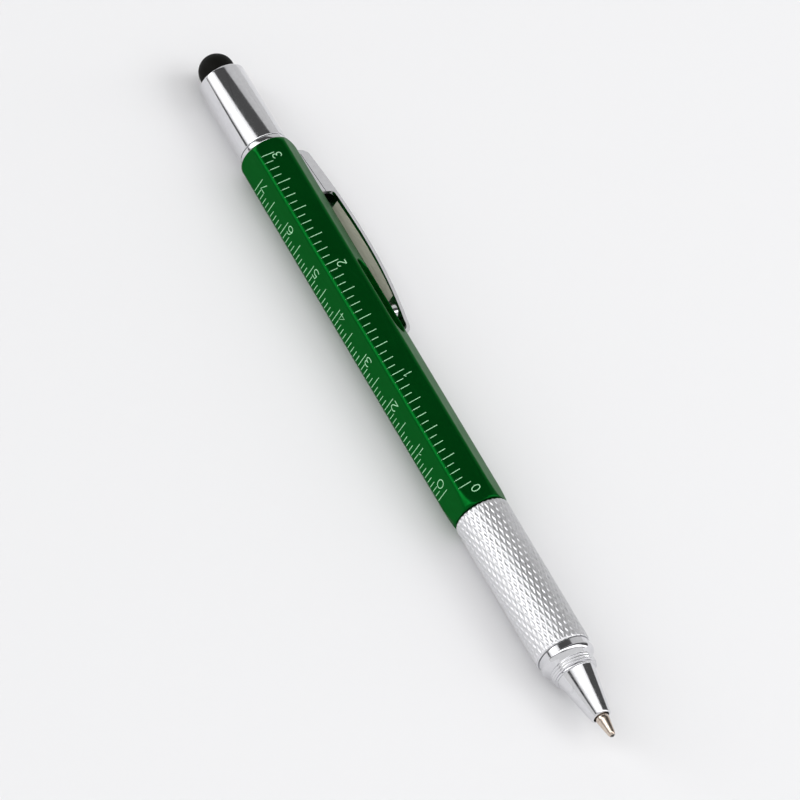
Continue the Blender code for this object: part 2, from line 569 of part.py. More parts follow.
def make_level(holder_plastic, clear, liquid_green, white, black):
    window_middle = WINDOW_START + WINDOW_LENGTH / 2.0
    channel = VIAL_RADIUS + LINE_THICKNESS + PRESS_GAP + DROP_IN_GAP
    place = (window_middle - VIAL_HOLDER_LENGTH / 2.0, 0.0, 0.0)
    rod_outline = rod(0.0, VIAL_HOLDER_LENGTH, BORE_RADIUS - DROP_IN_GAP)
    holder = add_object("vial_holder", turned(rod_outline), holder_plastic, place, LEVEL_FACE)
    trough = turned(rod(VIAL_END_WALL, VIAL_HOLDER_LENGTH - VIAL_END_WALL, channel))
    bmesh.ops.translate(trough, verts=trough.verts, vec=(0.0, 0.0, VIAL_OFFSET))
    combine(holder, add_object("vial_trough", trough, None, place, LEVEL_FACE), "DIFFERENCE")
    opening = block((VIAL_END_WALL, VIAL_HOLDER_LENGTH - VIAL_END_WALL), (-channel, channel),
                    (VIAL_OFFSET, BORE_RADIUS + OVERRUN))
    combine(holder, add_object("vial_opening", opening, None, place, LEVEL_FACE), "DIFFERENCE")

    level_angle = LEVEL_FACE * FACE_STEP
    middle = (window_middle, VIAL_OFFSET * math.sin(level_angle), VIAL_OFFSET * math.cos(level_angle))
    half = VIAL_LENGTH / 2.0
    vial = turned(tube(-half, half, VIAL_BORE_RADIUS, VIAL_RADIUS))
    add_object("level_vial", vial, clear, middle, LEVEL_FACE)
    inside = VIAL_BORE_RADIUS - PRESS_GAP
    for name, start in (("vial_plug_cap_side", -half), ("vial_plug_nib_side", half - PLUG_LENGTH)):
        add_object(name, turned(rod(start, start + PLUG_LENGTH, inside)), white, middle, LEVEL_FACE)
    wet = half - PLUG_LENGTH - SEAT_GAP
    liquid = add_object("vial_liquid", turned(rod(-wet, wet, inside)), liquid_green, middle, LEVEL_FACE)
    bubble = bmesh.new()
    bmesh.ops.create_icosphere(bubble, subdivisions=2, radius=BUBBLE_LENGTH / 2.0)
    bmesh.ops.scale(bubble, verts=bubble.verts,
                    vec=(1.0, BUBBLE_WIDTH / BUBBLE_LENGTH, 2.0 * BUBBLE_DEPTH / BUBBLE_LENGTH))
    bmesh.ops.translate(bubble, verts=bubble.verts, vec=(0.0, 0.0, inside))
    combine(liquid, add_object("bubble_space", bubble, None, middle, LEVEL_FACE), "DIFFERENCE")
    line_bore = VIAL_RADIUS + PRESS_GAP
    for name, side in (("vial_line_cap_side", -1.0), ("vial_line_nib_side", 1.0)):
        start = side * LINE_SPAN / 2.0 - LINE_WIDTH / 2.0
        outline = tube(start, start + LINE_WIDTH, line_bore, line_bore + LINE_THICKNESS)
        add_object(name, turned(outline), black, middle, LEVEL_FACE)


# Twist mechanism

def helix_slot(inner, outer, width, pitch, end_turn):
    """A cutter that follows the lug: as the grip turns forwards about X, the lug moves towards the cap."""
    span = RETRACT_TURN + 2.0 * end_turn
    bm = bmesh.new()
    last = None
    for step in range(HELIX_STEPS + 1):
        turn = -end_turn + span * step / HELIX_STEPS
        x = -pitch * turn
        ring = []
        for radius, side in ((inner, -1.0), (outer, -1.0), (outer, 1.0), (inner, 1.0)):
            point = (x + side * width / 2.0, -radius * math.sin(turn), radius * math.cos(turn))
            ring.append(bm.verts.new(point))
        if last is None:
            bm.faces.new(ring)
        else:
            for corner in range(4):
                following = (corner + 1) % 4
                bm.faces.new((last[corner], last[following], ring[following], ring[corner]))
        last = ring
    bm.faces.new(last)
    return bm


def make_mechanism(white, black, brass):
    pitch = RETRACT_TRAVEL / RETRACT_TURN
    cam_bore = SLEEVE_RADIUS + DROP_IN_GAP
    place = (LUG_STATION, 0.0, 0.0)
    cam_outline = tube(-CAM_BEFORE_LUG, CAM_AFTER_LUG, cam_bore, cam_bore + CAM_WALL)
    cam = add_object("cam_tube", turned(cam_outline), white, place)
    slot_width = 2.0 * SLOT_HALF / math.cos(math.atan2(pitch, cam_bore))
    slot = helix_slot(cam_bore - OVERRUN / 2.0, cam_bore + CAM_WALL + OVERRUN, slot_width, pitch,
                      SLOT_HALF / cam_bore)
    combine(cam, add_object("cam_slot", slot, None, place), "DIFFERENCE")

    sleeve_start = -RETRACT_TRAVEL - SLOT_HALF - SLEEVE_PAST_SLOT
    sleeve_end = GRIP_START - LUG_STATION + SLEEVE_IN_GRIP
    sleeve_bore = SLEEVE_RADIUS - SLEEVE_WALL
    sleeve_outline = tube(sleeve_start, sleeve_end, sleeve_bore, SLEEVE_RADIUS)
    sleeve = add_object("drive_sleeve", turned(sleeve_outline), brass, place)
    slot = block((-RETRACT_TRAVEL - SLOT_HALF, SLOT_HALF), (-SLOT_HALF, SLOT_HALF),
                 (sleeve_bore / 2.0, SLEEVE_RADIUS + OVERRUN))
    combine(sleeve, add_object("sleeve_slot", slot, None, place), "DIFFERENCE")

    bush_inner = SPIGOT_RADIUS + RUNNING_GAP
    bush_start = -BUSH_LENGTH
    add_object("grip_bush", turned(tube(bush_start, 0.0, bush_inner, BUSH_RADIUS - RUNNING_GAP)), black,
               (BARREL_END, 0.0, 0.0))
    ring_centre = SPIGOT_RADIUS + RUNNING_GAP / 2.0 + FRICTION_RING_RADIUS
    ring = []
    for step in range(RING_SIDES):
        angle = FULL_TURN * step / RING_SIDES
        ring.append((FRICTION_RING_RADIUS * math.cos(angle),
                     ring_centre + FRICTION_RING_RADIUS * math.sin(angle)))
    ring_place = BARREL_END - BUSH_LENGTH - FRICTION_RING_RADIUS - SEAT_GAP
    add_object("friction_ring", turned(ring), black, (ring_place, 0.0, 0.0))


def make_refill(white, clear, ink_blue, brass, steel):
    back = -LUG_FROM_REFILL - (CARRIER_LENGTH - CARRIER_GRIP - LUG_FROM_REFILL)
    bore = REFILL_RADIUS + PRESS_GAP
    outline = [(back, 0.0), (back, CARRIER_RADIUS), (CARRIER_GRIP, CARRIER_RADIUS), (CARRIER_GRIP, bore),
               (-SEAT_GAP, bore), (-SEAT_GAP, 0.0)]
    place = (REFILL_START, 0.0, 0.0)
    carrier = add_object("refill_carrier", turned(outline), white, place)
    lug = bmesh.new()
    lug_low = CARRIER_RADIUS / 2.0
    bmesh.ops.create_cone(lug, cap_ends=True, segments=SMALL_STEPS, radius1=LUG_RADIUS, radius2=LUG_RADIUS,
                          depth=LUG_REACH - lug_low)
    bmesh.ops.translate(lug, verts=lug.verts, vec=(-LUG_FROM_REFILL, 0.0, (LUG_REACH + lug_low) / 2.0))
    combine(carrier, add_object("carrier_lug", lug, None, place), "UNION")

    tip_start = REFILL_LENGTH - TIP_BODY_LENGTH
    tube_bore = REFILL_RADIUS - REFILL_WALL
    tube_outline = tube(0.0, tip_start - SEAT_GAP, tube_bore, REFILL_RADIUS)
    add_object("refill_tube", turned(tube_outline, SMALL_STEPS), clear, place)
    spigot = tube_bore - PRESS_GAP
    ink_end = tip_start - TIP_SPIGOT_LENGTH - SEAT_GAP
    add_object("refill_ink", turned(rod(ink_end - INK_LENGTH, ink_end, spigot), SMALL_STEPS), ink_blue, place)

    socket_x = REFILL_LENGTH - BALL_PROUD
    ball_x = REFILL_LENGTH - BALL_RADIUS
    socket = BALL_RADIUS + RUNNING_GAP
    cone_start = REFILL_LENGTH - TIP_PROUD + TIP_STRAIGHT
    mouth = math.sqrt(socket * socket - (socket_x - ball_x) * (socket_x - ball_x))
    outline = [(tip_start - TIP_SPIGOT_LENGTH, 0.0), (tip_start - TIP_SPIGOT_LENGTH, spigot),
               (tip_start, spigot), (tip_start, TIP_RADIUS), (cone_start, TIP_RADIUS),
               (socket_x, TIP_END_RADIUS), (socket_x, mouth)]
    for step in range(1, ARC_STEPS + 1):
        start = math.atan2(mouth, socket_x - ball_x)
        angle = start + (math.pi - start) * step / ARC_STEPS
        outline.append((ball_x + socket * math.cos(angle), abs(socket * math.sin(angle))))
    outline[-1] = (ball_x - socket, 0.0)
    add_object("refill_tip", turned(outline, SMALL_STEPS), brass, place)
    ball = bmesh.new()
    bmesh.ops.create_icosphere(ball, subdivisions=2, radius=BALL_RADIUS)
    add_object("nib_ball", ball, steel, (REFILL_START + ball_x, 0.0, 0.0))


# Grip and nose

def make_grip(chrome):
    spigot_bore = SLEEVE_RADIUS + PRESS_GAP
    thread_start = GRIP_LENGTH - THREAD_BORE_DEPTH
    shoulder = SLEEVE_IN_GRIP + SEAT_GAP
    outline = [(-SPIGOT_LENGTH, spigot_bore), (-SPIGOT_LENGTH, SPIGOT_RADIUS), (0.0, SPIGOT_RADIUS),
               (0.0, GRIP_RADIUS - GRIP_EDGE), (GRIP_EDGE, GRIP_RADIUS),
               (GRIP_LENGTH - GRIP_EDGE, GRIP_RADIUS), (GRIP_LENGTH, GRIP_RADIUS - GRIP_EDGE),
               (GRIP_LENGTH, THREAD_BORE_RADIUS),
               (thread_start, THREAD_BORE_RADIUS), (thread_start, GRIP_BORE_RADIUS),
               (shoulder, GRIP_BORE_RADIUS), (shoulder, spigot_bore)]
    add_object("grip_sleeve", turned(outline), chrome, (GRIP_START, 0.0, 0.0))


def make_nose(chrome):
    spigot = THREAD_BORE_RADIUS - RUNNING_GAP
    outline = [(-NOSE_SPIGOT_LENGTH, NOSE_BORE_RADIUS), (-NOSE_SPIGOT_LENGTH, spigot), (SEAT_GAP, spigot),
               (SEAT_GAP, COLLAR_RADIUS), (COLLAR_LENGTH, COLLAR_RADIUS), (COLLAR_LENGTH, FLANGE_RADIUS)]
    slope_start = COLLAR_LENGTH + FLANGE_LENGTH
    ribs_start = slope_start + FLANGE_SLOPE
    outline += [(slope_start, FLANGE_RADIUS), (ribs_start, RIB_RADIUS - RIB_DEPTH)]
    for rib in range(RIB_COUNT):
        valley = ribs_start + rib * RIB_PITCH
        outline += [(valley + RIB_PITCH / 2.0, RIB_RADIUS), (valley + RIB_PITCH, RIB_RADIUS - RIB_DEPTH)]
    ring_start = ribs_start + RIBS_LENGTH
    cone_start = ring_start + END_RING_LENGTH
    outline[-1] = (ring_start, END_RING_RADIUS - RIB_DEPTH)
    outline += [(ring_start, END_RING_RADIUS), (cone_start, END_RING_RADIUS), (cone_start, CONE_BASE_RADIUS)]
    outline += [(NOSE_LENGTH, CONE_END_RADIUS), (NOSE_LENGTH, NOSE_MOUTH_RADIUS)]
    outline += [(NOSE_LENGTH - NOSE_MOUTH_LENGTH, NOSE_MOUTH_RADIUS),
                (NOSE_LENGTH - 2.0 * NOSE_MOUTH_LENGTH, NOSE_BORE_RADIUS)]
    add_object("nose_cone", turned(outline), chrome, (NOSE_START, 0.0, 0.0))


def build():
    clear_scene()
    roll, axis_y, axis_z = lie_of_pen()
    pen_axis = bpy.data.objects.new("pen_axis", None)
    bpy.context.scene.collection.objects.link(pen_axis)
    pen_axis.location = (0.0, axis_y, axis_z)
    pen_axis.rotation_euler.x = roll

    green = make_material("green_anodised", (0.0, 0.10, 0.015), 0.3, 0.8)
    chrome = make_material("chrome", (0.80, 0.80, 0.82), 0.1, 1.0)
    steel = make_material("steel", (0.45, 0.45, 0.47), 0.3, 1.0)
    rubber = make_material("black_rubber", (0.010, 0.010, 0.008), 0.6, 0.0)
    black = make_material("black_plastic", (0.02, 0.02, 0.02), 0.5, 0.0)
    white = make_material("white_plastic", (0.8, 0.8, 0.78), 0.5, 0.0)
    clear = make_material("clear_plastic", (0.85, 0.92, 0.85), 0.1, 0.0)
    level_green = make_material("level_green", (0.20, 0.85, 0.15), 0.1, 0.0)
    ink = make_material("ink_blue", (0.01, 0.02, 0.20), 0.3, 0.0)
    brass = make_material("brass", (0.72, 0.56, 0.40), 0.25, 1.0)

    make_barrel(green)
    make_cap(chrome)
    make_stylus(rubber)
    make_tool_holder(chrome)
    make_bit(steel)
    make_magnet(steel)
    make_clip(chrome)
    make_level(black, clear, level_green, white, black)
    make_mechanism(white, black, brass)
    make_refill(white, clear, ink, brass, steel)
    make_grip(chrome)
    make_nose(chrome)


build()
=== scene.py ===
import math
from types import SimpleNamespace

import bmesh
import bpy
from mathutils import Matrix, Vector


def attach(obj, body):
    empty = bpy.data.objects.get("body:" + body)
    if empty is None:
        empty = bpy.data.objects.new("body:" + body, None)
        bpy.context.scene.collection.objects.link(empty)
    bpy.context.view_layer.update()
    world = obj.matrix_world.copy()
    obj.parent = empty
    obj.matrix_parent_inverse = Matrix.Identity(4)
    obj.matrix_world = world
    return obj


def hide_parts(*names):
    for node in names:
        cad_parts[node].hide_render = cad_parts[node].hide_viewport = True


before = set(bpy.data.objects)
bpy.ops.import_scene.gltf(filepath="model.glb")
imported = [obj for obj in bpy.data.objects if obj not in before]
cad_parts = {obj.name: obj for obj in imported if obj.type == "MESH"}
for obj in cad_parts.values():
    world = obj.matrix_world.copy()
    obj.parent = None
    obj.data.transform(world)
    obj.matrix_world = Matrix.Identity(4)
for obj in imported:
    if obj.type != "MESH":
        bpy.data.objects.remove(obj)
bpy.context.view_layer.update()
mm = 0.001  # every mesh below is drawn in millimetres
print("frame loaded:", len(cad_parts), "nodes")

# Where the pieces are along the pen, and how the pen lies on the table
penLie = {"roll": 10.495190131, "axisY": -1.954694, "axisZ": 5.125854}
stations = {"cap": -70.75, "barrel": -53.0, "grip": 28.9, "nose": 58.35, "tipEnd": 75.9, "clip": -51.85,
            "window": -24.9, "inchZero": 24.85, "centimetreZero": 23.2}
penMatrix = (Matrix.Translation((0.0, penLie["axisY"] * mm, penLie["axisZ"] * mm))
             @ Matrix.Rotation(math.radians(penLie["roll"]), 4, "X"))
faces = {"inch": 0, "level": 1, "clip": 2, "centimetre": 5}  # sixths of a turn from the inch scale's face


# Tools

meshValues = {"weld": 0.0004, "onAxis": 0.0005, "cornerShare": 0.45}


def smooth(low, high, value):
    share = min(1.0, max(0.0, (value - low) / (high - low)))
    return share * share * (3.0 - 2.0 * share)


def softMin(first, second, blend):
    share = max(blend - abs(first - second), 0.0) / blend
    return min(first, second) - share * share * blend / 4.0


def softened(profile, steps=4):  # rounds the corners of (x, radius, softness)
    result = []
    for index, (x, r, soft) in enumerate(profile):
        if soft <= 0.0:
            result.append((x, r))
            continue
        ends = []
        for other in (profile[index - 1], profile[(index + 1) % len(profile)]):
            gap = math.hypot(other[0] - x, other[1] - r)
            reach = min(soft, meshValues["cornerShare"] * gap) / gap
            ends.append((x + (other[0] - x) * reach, r + (other[1] - r) * reach))
        for step in range(steps + 1):
            t = step / steps
            weights = ((1.0 - t) ** 2, 2.0 * t * (1.0 - t), t * t)
            result.append(tuple(ends[0][k] * weights[0] + (x, r)[k] * weights[1] + ends[1][k] * weights[2]
                                for k in (0, 1)))
    return result


def ringAt(x, radii, phase=0.0):  # points about X, one for each radius
    angles = [2.0 * math.pi * i / len(radii) + phase for i in range(len(radii))]
    return [(x, r * math.sin(angle), r * math.cos(angle)) for angle, r in zip(angles, radii)]


def ringsToMesh(rings, closed):  # a ring of one point closes an end on the axis
    bm = bmesh.new()
    made = [[bm.verts.new(point) for point in ring] for ring in rings]
    sides = max(len(ring) for ring in made)
    pairs = list(zip(made, made[1:]))
    if closed:
        pairs.append((made[-1], made[0]))
    for low, high in pairs:
        for i in range(sides):
            j = (i + 1) % sides
            corners = []
            for vert in (low[i % len(low)], high[i % len(high)], high[j % len(high)], low[j % len(low)]):
                if vert not in corners:
                    corners.append(vert)
            if len(corners) > 2:
                bm.faces.new(corners)
    return bm


def turned(profile, sides=128):  # a body turned about X from points (x, radius)
    rings = [[(x, 0.0, 0.0)] if r < meshValues["onAxis"] else ringAt(x, [r] * sides) for x, r in profile]
    return ringsToMesh(rings, len(rings[0]) > 1)


def prism(outline, low, high, axis):  # an outline drawn out along X, Y or Z
    bm = bmesh.new()
    place = {"x": lambda a, b, c: (c, a, b), "y": lambda a, b, c: (a, c, b), "z": lambda a, b, c: (a, b, c)}
    ends = [[bm.verts.new(place[axis](a, b, level)) for a, b in outline] for level in (low, high)]
    bm.faces.new(ends[0])
    bm.faces.new(ends[1])
    for i in range(len(outline)):
        j = (i + 1) % len(outline)
        bm.faces.new((ends[0][i], ends[0][j], ends[1][j], ends[1][i]))
    return bm


def block(xRange, yRange, zRange):
    (left, right), (front, back) = xRange, yRange
    return prism([(left, front), (right, front), (right, back), (left, back)], *zRange, "z")


def arc(centreX, centreR, lengthX, lengthR, start, end, steps):
    points = []
    for step in range(steps + 1):
        angle = math.radians(start + (end - start) * step / steps)
        points.append((centreX + lengthX * math.cos(angle), centreR + lengthR * math.sin(angle)))
    return points


def moved(bm, place):
    bmesh.ops.translate(bm, verts=bm.verts, vec=place)
    return bm


def rotated(bm, matrix):
    bmesh.ops.rotate(bm, verts=bm.verts, cent=(0.0, 0.0, 0.0), matrix=matrix)
    return bm


def ellipsoid(radii, place, columns, rows, turn=0.0):  # its poles are turned from Z towards X
    bm = bmesh.new()
    bmesh.ops.create_uvsphere(bm, u_segments=columns, v_segments=rows, radius=1.0)
    rotated(bm, Matrix.Rotation(turn, 3, "Y"))
    bmesh.ops.scale(bm, verts=bm.verts, vec=radii)
    return moved(bm, place)


def faceTurn(face, size=3):  # from the inch scale's face to another of the six
    return Matrix.Rotation(-face * math.pi / 3.0, size, "X")


def newObject(name, data):
    item = bpy.data.objects.new(name, data)
    bpy.context.scene.collection.objects.link(item)
    return item


def meshObject(name, bm, clean=True):
    if clean:
        bmesh.ops.remove_doubles(bm, verts=bm.verts, dist=meshValues["weld"])
        bmesh.ops.recalc_face_normals(bm, faces=bm.faces)
    bmesh.ops.scale(bm, vec=(mm, mm, mm), verts=bm.verts)
    mesh = bpy.data.meshes.new(name)
    bm.to_mesh(mesh)
    bm.free()
    return newObject(name, mesh)


def bakeModifiers(item):
    bpy.context.view_layer.update()
    evaluated = item.evaluated_get(bpy.context.evaluated_depsgraph_get())
    mesh = bpy.data.meshes.new_from_object(evaluated)
    item.modifiers.clear()
    item.data = mesh


def carved(item, tools):  # tools of (mesh, Boolean operation)
    helpers = []
    for index, (bm, operation) in enumerate(tools):
        helper = meshObject(f"{item.name}Tool{index}", bm)
        modifier = item.modifiers.new("carve", "BOOLEAN")
        modifier.operation = operation
        modifier.solver = "EXACT"
        modifier.object = helper
        helpers.append(helper)
    bakeModifiers(item)
    for helper in helpers:
        bpy.data.objects.remove(helper, do_unlink=True)


def roundedEdges(item, width, segments, limit):  # width in millimetres, limit in degrees
    modifier = item.modifiers.new("edges", "BEVEL")
    modifier.width = width * mm
    modifier.segments = segments
    modifier.limit_method = "ANGLE"
    modifier.angle_limit = math.radians(limit)
    modifier.use_clamp_overlap = True
    bakeModifiers(item)


def finishPiece(item, finish, body, replaced=(), x=0.0, z=0.0, face=0, sharp=35.0, flats=False):
    offset = Matrix.Translation(Vector((x, 0.0, z)) * mm)
    item.data.transform(penMatrix @ faceTurn(face, 4) @ offset)
    item.data.materials.clear()
    item.data.materials.append(materials[finish])
    item.data.shade_smooth()
    item.data.set_sharp_from_angle(angle=math.radians(sharp))
    if flats:  # keeps flat faces flat beside small roundings
        modifier = item.modifiers.new("flats", "WEIGHTED_NORMAL")
        modifier.keep_sharp = True
        modifier.weight = 100
        bakeModifiers(item)
    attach(item, body)
    if replaced:
        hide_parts(*replaced)
    print("piece:", item.name, len(item.data.polygons), "faces")


# Materials

def newGroup(name, inputs, outputs):
    group = bpy.data.node_groups.new(name, "ShaderNodeTree")
    for socketName, kind, value in inputs:
        socket = group.interface.new_socket(name=socketName, in_out="INPUT", socket_type=kind)
        socket.default_value = value
    for socketName, kind in outputs:
        group.interface.new_socket(name=socketName, in_out="OUTPUT", socket_type=kind)
    return group, group.nodes.new("NodeGroupInput"), group.nodes.new("NodeGroupOutput")


def addNode(tree, kind, inputs=None, **settings):
    node = tree.nodes.new("ShaderNode" + kind)
    for setting, value in settings.items():
        setattr(node, setting, value)
    for socket, value in (inputs or {}).items():
        node.inputs[socket].default_value = value
    return node


def wire(tree, *links):  # links of (node, output, next node, input)
    for node, output, nextNode, socket in links:
        tree.links.new(node.outputs[output], nextNode.inputs[socket])


def makeGrainGroup():  # fine grain, drawn out along the pen if wanted
    group, source, result = newGroup(
        "fineGrain",
        [("scale", "NodeSocketFloat", 900.0), ("stretch", "NodeSocketVector", (1.0, 1.0, 1.0)),
         ("low", "NodeSocketFloat", 0.35), ("high", "NodeSocketFloat", 0.65)],
        [("mask", "NodeSocketFloat")])
    coordinates = addNode(group, "TexCoord")
    drawn = addNode(group, "VectorMath", operation="MULTIPLY")
    noise = addNode(group, "TexNoise", {"Detail": 3.0})
    limits = addNode(group, "MapRange")
    wire(group,
         (coordinates, "Object", drawn, 0), (source, "stretch", drawn, 1),
         (drawn, "Vector", noise, "Vector"), (source, "scale", noise, "Scale"),
         (noise, "Fac", limits, "Value"), (source, "low", limits, "From Min"),
         (source, "high", limits, "From Max"), (limits, "Result", result, "mask"))
    return group


def makeWearGroup():  # smudges from handling, a few hairline scratches
    group, source, result = newGroup(
        "handlingWear",
        [("smudgeSize", "NodeSocketFloat", 120.0), ("scratchDensity", "NodeSocketFloat", 260.0),
         ("scratchWidth", "NodeSocketFloat", 0.02)],
        [("smudge", "NodeSocketFloat"), ("scratch", "NodeSocketFloat")])
    coordinates = addNode(group, "TexCoord")
    smudge = addNode(group, "TexNoise", {"Detail": 4.0, "Distortion": 0.6})
    smudgeLimits = addNode(group, "MapRange", {"From Min": 0.42, "From Max": 0.68})
    turnedPlace = addNode(group, "Mapping", {"Rotation": (0.4, 0.7, 0.3), "Scale": (0.08, 1.0, 1.0)})
    scratch = addNode(group, "TexVoronoi", feature="DISTANCE_TO_EDGE")
    narrow = addNode(group, "Math", operation="LESS_THAN")
    broken = addNode(group, "Math", operation="MULTIPLY")
    wire(group,
         (coordinates, "Object", smudge, "Vector"), (source, "smudgeSize", smudge, "Scale"),
         (smudge, "Fac", smudgeLimits, "Value"), (smudgeLimits, "Result", result, "smudge"),
         (coordinates, "Object", turnedPlace, "Vector"), (turnedPlace, "Vector", scratch, "Vector"),
         (source, "scratchDensity", scratch, "Scale"), (scratch, "Distance", narrow, 0),
         (source, "scratchWidth", narrow, 1), (narrow, "Value", broken, 0),
         (smudgeLimits, "Result", broken, 1), (broken, "Value", result, "scratch"))
    return group


grainGroup = makeGrainGroup()
wearGroup = makeWearGroup()

usualFinish = {"grainStretch": (1.0, 1.0, 1.0), "smudgeSize": 120.0, "smudgeShare": 0.5,
               "scratchWidth": 0.012, "scratchStrength": 0.3, "bump": 0.0, "bumpDepth": 0.00002,
               "sockets": {}}


def makeFinish(name, values):  # Principled, with grain, smudges and scratches
    v = SimpleNamespace(**{**usualFinish, "scratchColour": values["colour"], **values})
    material = bpy.data.materials.new(name)
    material.use_nodes = True
    tree = material.node_tree
    shader = tree.nodes["Principled BSDF"]
    for socket, value in v.sockets.items():
        shader.inputs[socket].default_value = value
    grain = addNode(tree, "Group", {"scale": v.grainScale, "stretch": v.grainStretch},
                    node_tree=grainGroup)
    wear = addNode(tree, "Group", {"smudgeSize": v.smudgeSize, "scratchWidth": v.scratchWidth},
                   node_tree=wearGroup)
    tint = addNode(tree, "Mix", {"A": (*v.colour, 1.0), "B": (*v.grainColour, 1.0)}, data_type="RGBA")
    worn = addNode(tree, "Mix", {"B": (*v.scratchColour, 1.0)}, data_type="RGBA")
    wornShare = addNode(tree, "Math", {1: v.scratchStrength}, operation="MULTIPLY")
    rough = addNode(tree, "MapRange", {"To Min": v.roughness[0], "To Max": v.roughness[1]})
    blendMasks = addNode(tree, "Math", {1: v.smudgeShare}, operation="MULTIPLY_ADD")
    wire(tree,
         (grain, "mask", tint, "Factor"), (tint, "Result", worn, "A"), (wear, "scratch", wornShare, 0),
         (wornShare, "Value", worn, "Factor"), (worn, "Result", shader, "Base Color"),
         (wear, "smudge", blendMasks, 0), (grain, "mask", blendMasks, 2),
         (blendMasks, "Value", rough, "Value"), (rough, "Result", shader, "Roughness"))
    if v.bump > 0.0:
        bump = addNode(tree, "Bump", {"Strength": v.bump, "Distance": v.bumpDepth})
        wire(tree, (grain, "mask", bump, "Height"), (bump, "Normal", shader, "Normal"))
    return material


finishes = {
    "greenAnodised": {"colour": (0.001, 0.100, 0.012), "grainColour": (0.001, 0.094, 0.011),
                      "grainScale": 2600.0, "grainStretch": (0.25, 1.0, 1.0), "roughness": (0.30, 0.35),
                      "scratchColour": (0.01, 0.15, 0.03), "scratchStrength": 0.15,
                      "sockets": {"Metallic": 0.9, "Specular IOR Level": 0.1,
                                  "Specular Tint": (0.69, 0.77, 0.69, 1.0)}},
    "polishedChrome": {"colour": (0.73, 0.73, 0.75), "grainColour": (0.70, 0.70, 0.72), "grainScale": 1500.0,
                       "roughness": (0.05, 0.13), "scratchColour": (0.45, 0.45, 0.47),
                       "scratchStrength": 0.35, "sockets": {"Metallic": 1.0}},
    "knurledChrome": {"colour": (0.76, 0.76, 0.775), "grainColour": (0.71, 0.71, 0.73), "grainScale": 2400.0,
                      "roughness": (0.30, 0.42), "bump": 0.08, "sockets": {"Metallic": 1.0}},
    # the clip arm's inner face: satin, with a warm cream colour that is a painted reflection of a pale
    # surface
    "satinPaintedReflection": {"colour": (0.95, 0.91, 0.77), "grainColour": (0.87, 0.83, 0.70), "grainScale": 1500.0,
                    "grainStretch": (0.2, 1.0, 1.0), "roughness": (0.42, 0.55), "sockets": {"Metallic": 0.1}},
    "softRubber": {"colour": (0.003, 0.003, 0.002), "grainColour": (0.005, 0.005, 0.004),
                   "grainScale": 3500.0, "roughness": (0.5, 0.65), "scratchStrength": 0.0, "bump": 0.2,
                   "sockets": {"Specular IOR Level": 0.08}},
    "paleInk": {"colour": (0.43, 0.80, 0.49), "grainColour": (0.32, 0.68, 0.38), "grainScale": 5200.0,
                "roughness": (0.45, 0.65), "scratchStrength": 0.0, "sockets": {"Specular IOR Level": 0.3}},
    "penTipMetal": {"colour": (0.66, 0.57, 0.49), "grainColour": (0.54, 0.45, 0.38), "grainScale": 3000.0,
                    "grainStretch": (1.0, 0.3, 0.3), "roughness": (0.10, 0.22), "sockets": {"Metallic": 1.0}},
    "hardSteel": {"colour": (0.42, 0.42, 0.44), "grainColour": (0.33, 0.33, 0.345), "grainScale": 2600.0,
                  "grainStretch": (0.2, 1.0, 1.0), "roughness": (0.24, 0.38), "bump": 0.15,
                  "sockets": {"Metallic": 1.0}},
    "darkCarbide": {"colour": (0.13, 0.125, 0.12), "grainColour": (0.10, 0.095, 0.09), "grainScale": 4000.0,
                    "roughness": (0.10, 0.18), "scratchStrength": 0.0, "sockets": {"Metallic": 1.0}},
    "turnedBrass": {"colour": (0.70, 0.50, 0.24), "grainColour": (0.62, 0.43, 0.19), "grainScale": 2400.0,
                    "grainStretch": (1.0, 0.2, 0.2), "roughness": (0.2, 0.34), "sockets": {"Metallic": 1.0}},
    "whiteMoulded": {"colour": (0.80, 0.80, 0.77), "grainColour": (0.76, 0.76, 0.73), "grainScale": 1800.0,
                     "roughness": (0.38, 0.5), "scratchStrength": 0.0, "bump": 0.1},
    "blackMoulded": {"colour": (0.018, 0.018, 0.018), "grainColour": (0.026, 0.026, 0.026),
                     "grainScale": 1800.0, "roughness": (0.38, 0.52), "scratchStrength": 0.0, "bump": 0.1},
    "blueInk": {"colour": (0.008, 0.016, 0.20), "grainColour": (0.010, 0.02, 0.24), "grainScale": 900.0,
                "roughness": (0.12, 0.2), "scratchStrength": 0.0},
    "clearTube": {"colour": (0.93, 0.97, 0.93), "grainColour": (0.90, 0.96, 0.91), "grainScale": 700.0,
                  "roughness": (0.02, 0.06), "scratchStrength": 0.0,
                  "sockets": {"Transmission Weight": 0.92, "IOR": 1.49}},
    # the level's liquid glows a little green: a painted glow, it is no lamp
    "levelLiquidPaintedGlow": {"colour": (0.25, 0.90, 0.12), "grainColour": (0.22, 0.86, 0.10), "grainScale": 500.0,
                    "roughness": (0.02, 0.05), "scratchStrength": 0.0,
                    "sockets": {"Transmission Weight": 0.65, "IOR": 1.33, "Emission Strength": 0.25,
                                "Emission Color": (0.12, 0.75, 0.08, 1.0)}},
}
materials = {name: makeFinish(name, values) for name, values in finishes.items()}
print("materials:", len(materials))


# Barrel

barrelValues = {"flats": 9.5, "cornerRadius": 1.0, "length": 81.6, "bore": 3.8, "chamfer": 0.15,
                "crease": 0.10, "topEnd": 4.45, "topRound": 1.8, "nibEnd": 4.7, "nibRound": 0.6,
                "nibTaper": 3.6, "nibTaperEnd": 5.08, "clearance": 0.02, "cornerSteps": 10, "faceSteps": 14,
                "topSteps": 24, "taperSteps": 16, "nibSteps": 14, "windowLength": 16.4, "windowWidth": 4.1,
                "windowRim": 0.14, "cutFrom": 2.0, "cutSpare": 1.0, "hookSlot": (0.95, 3.1),
                "hookSlotHalf": 1.2}


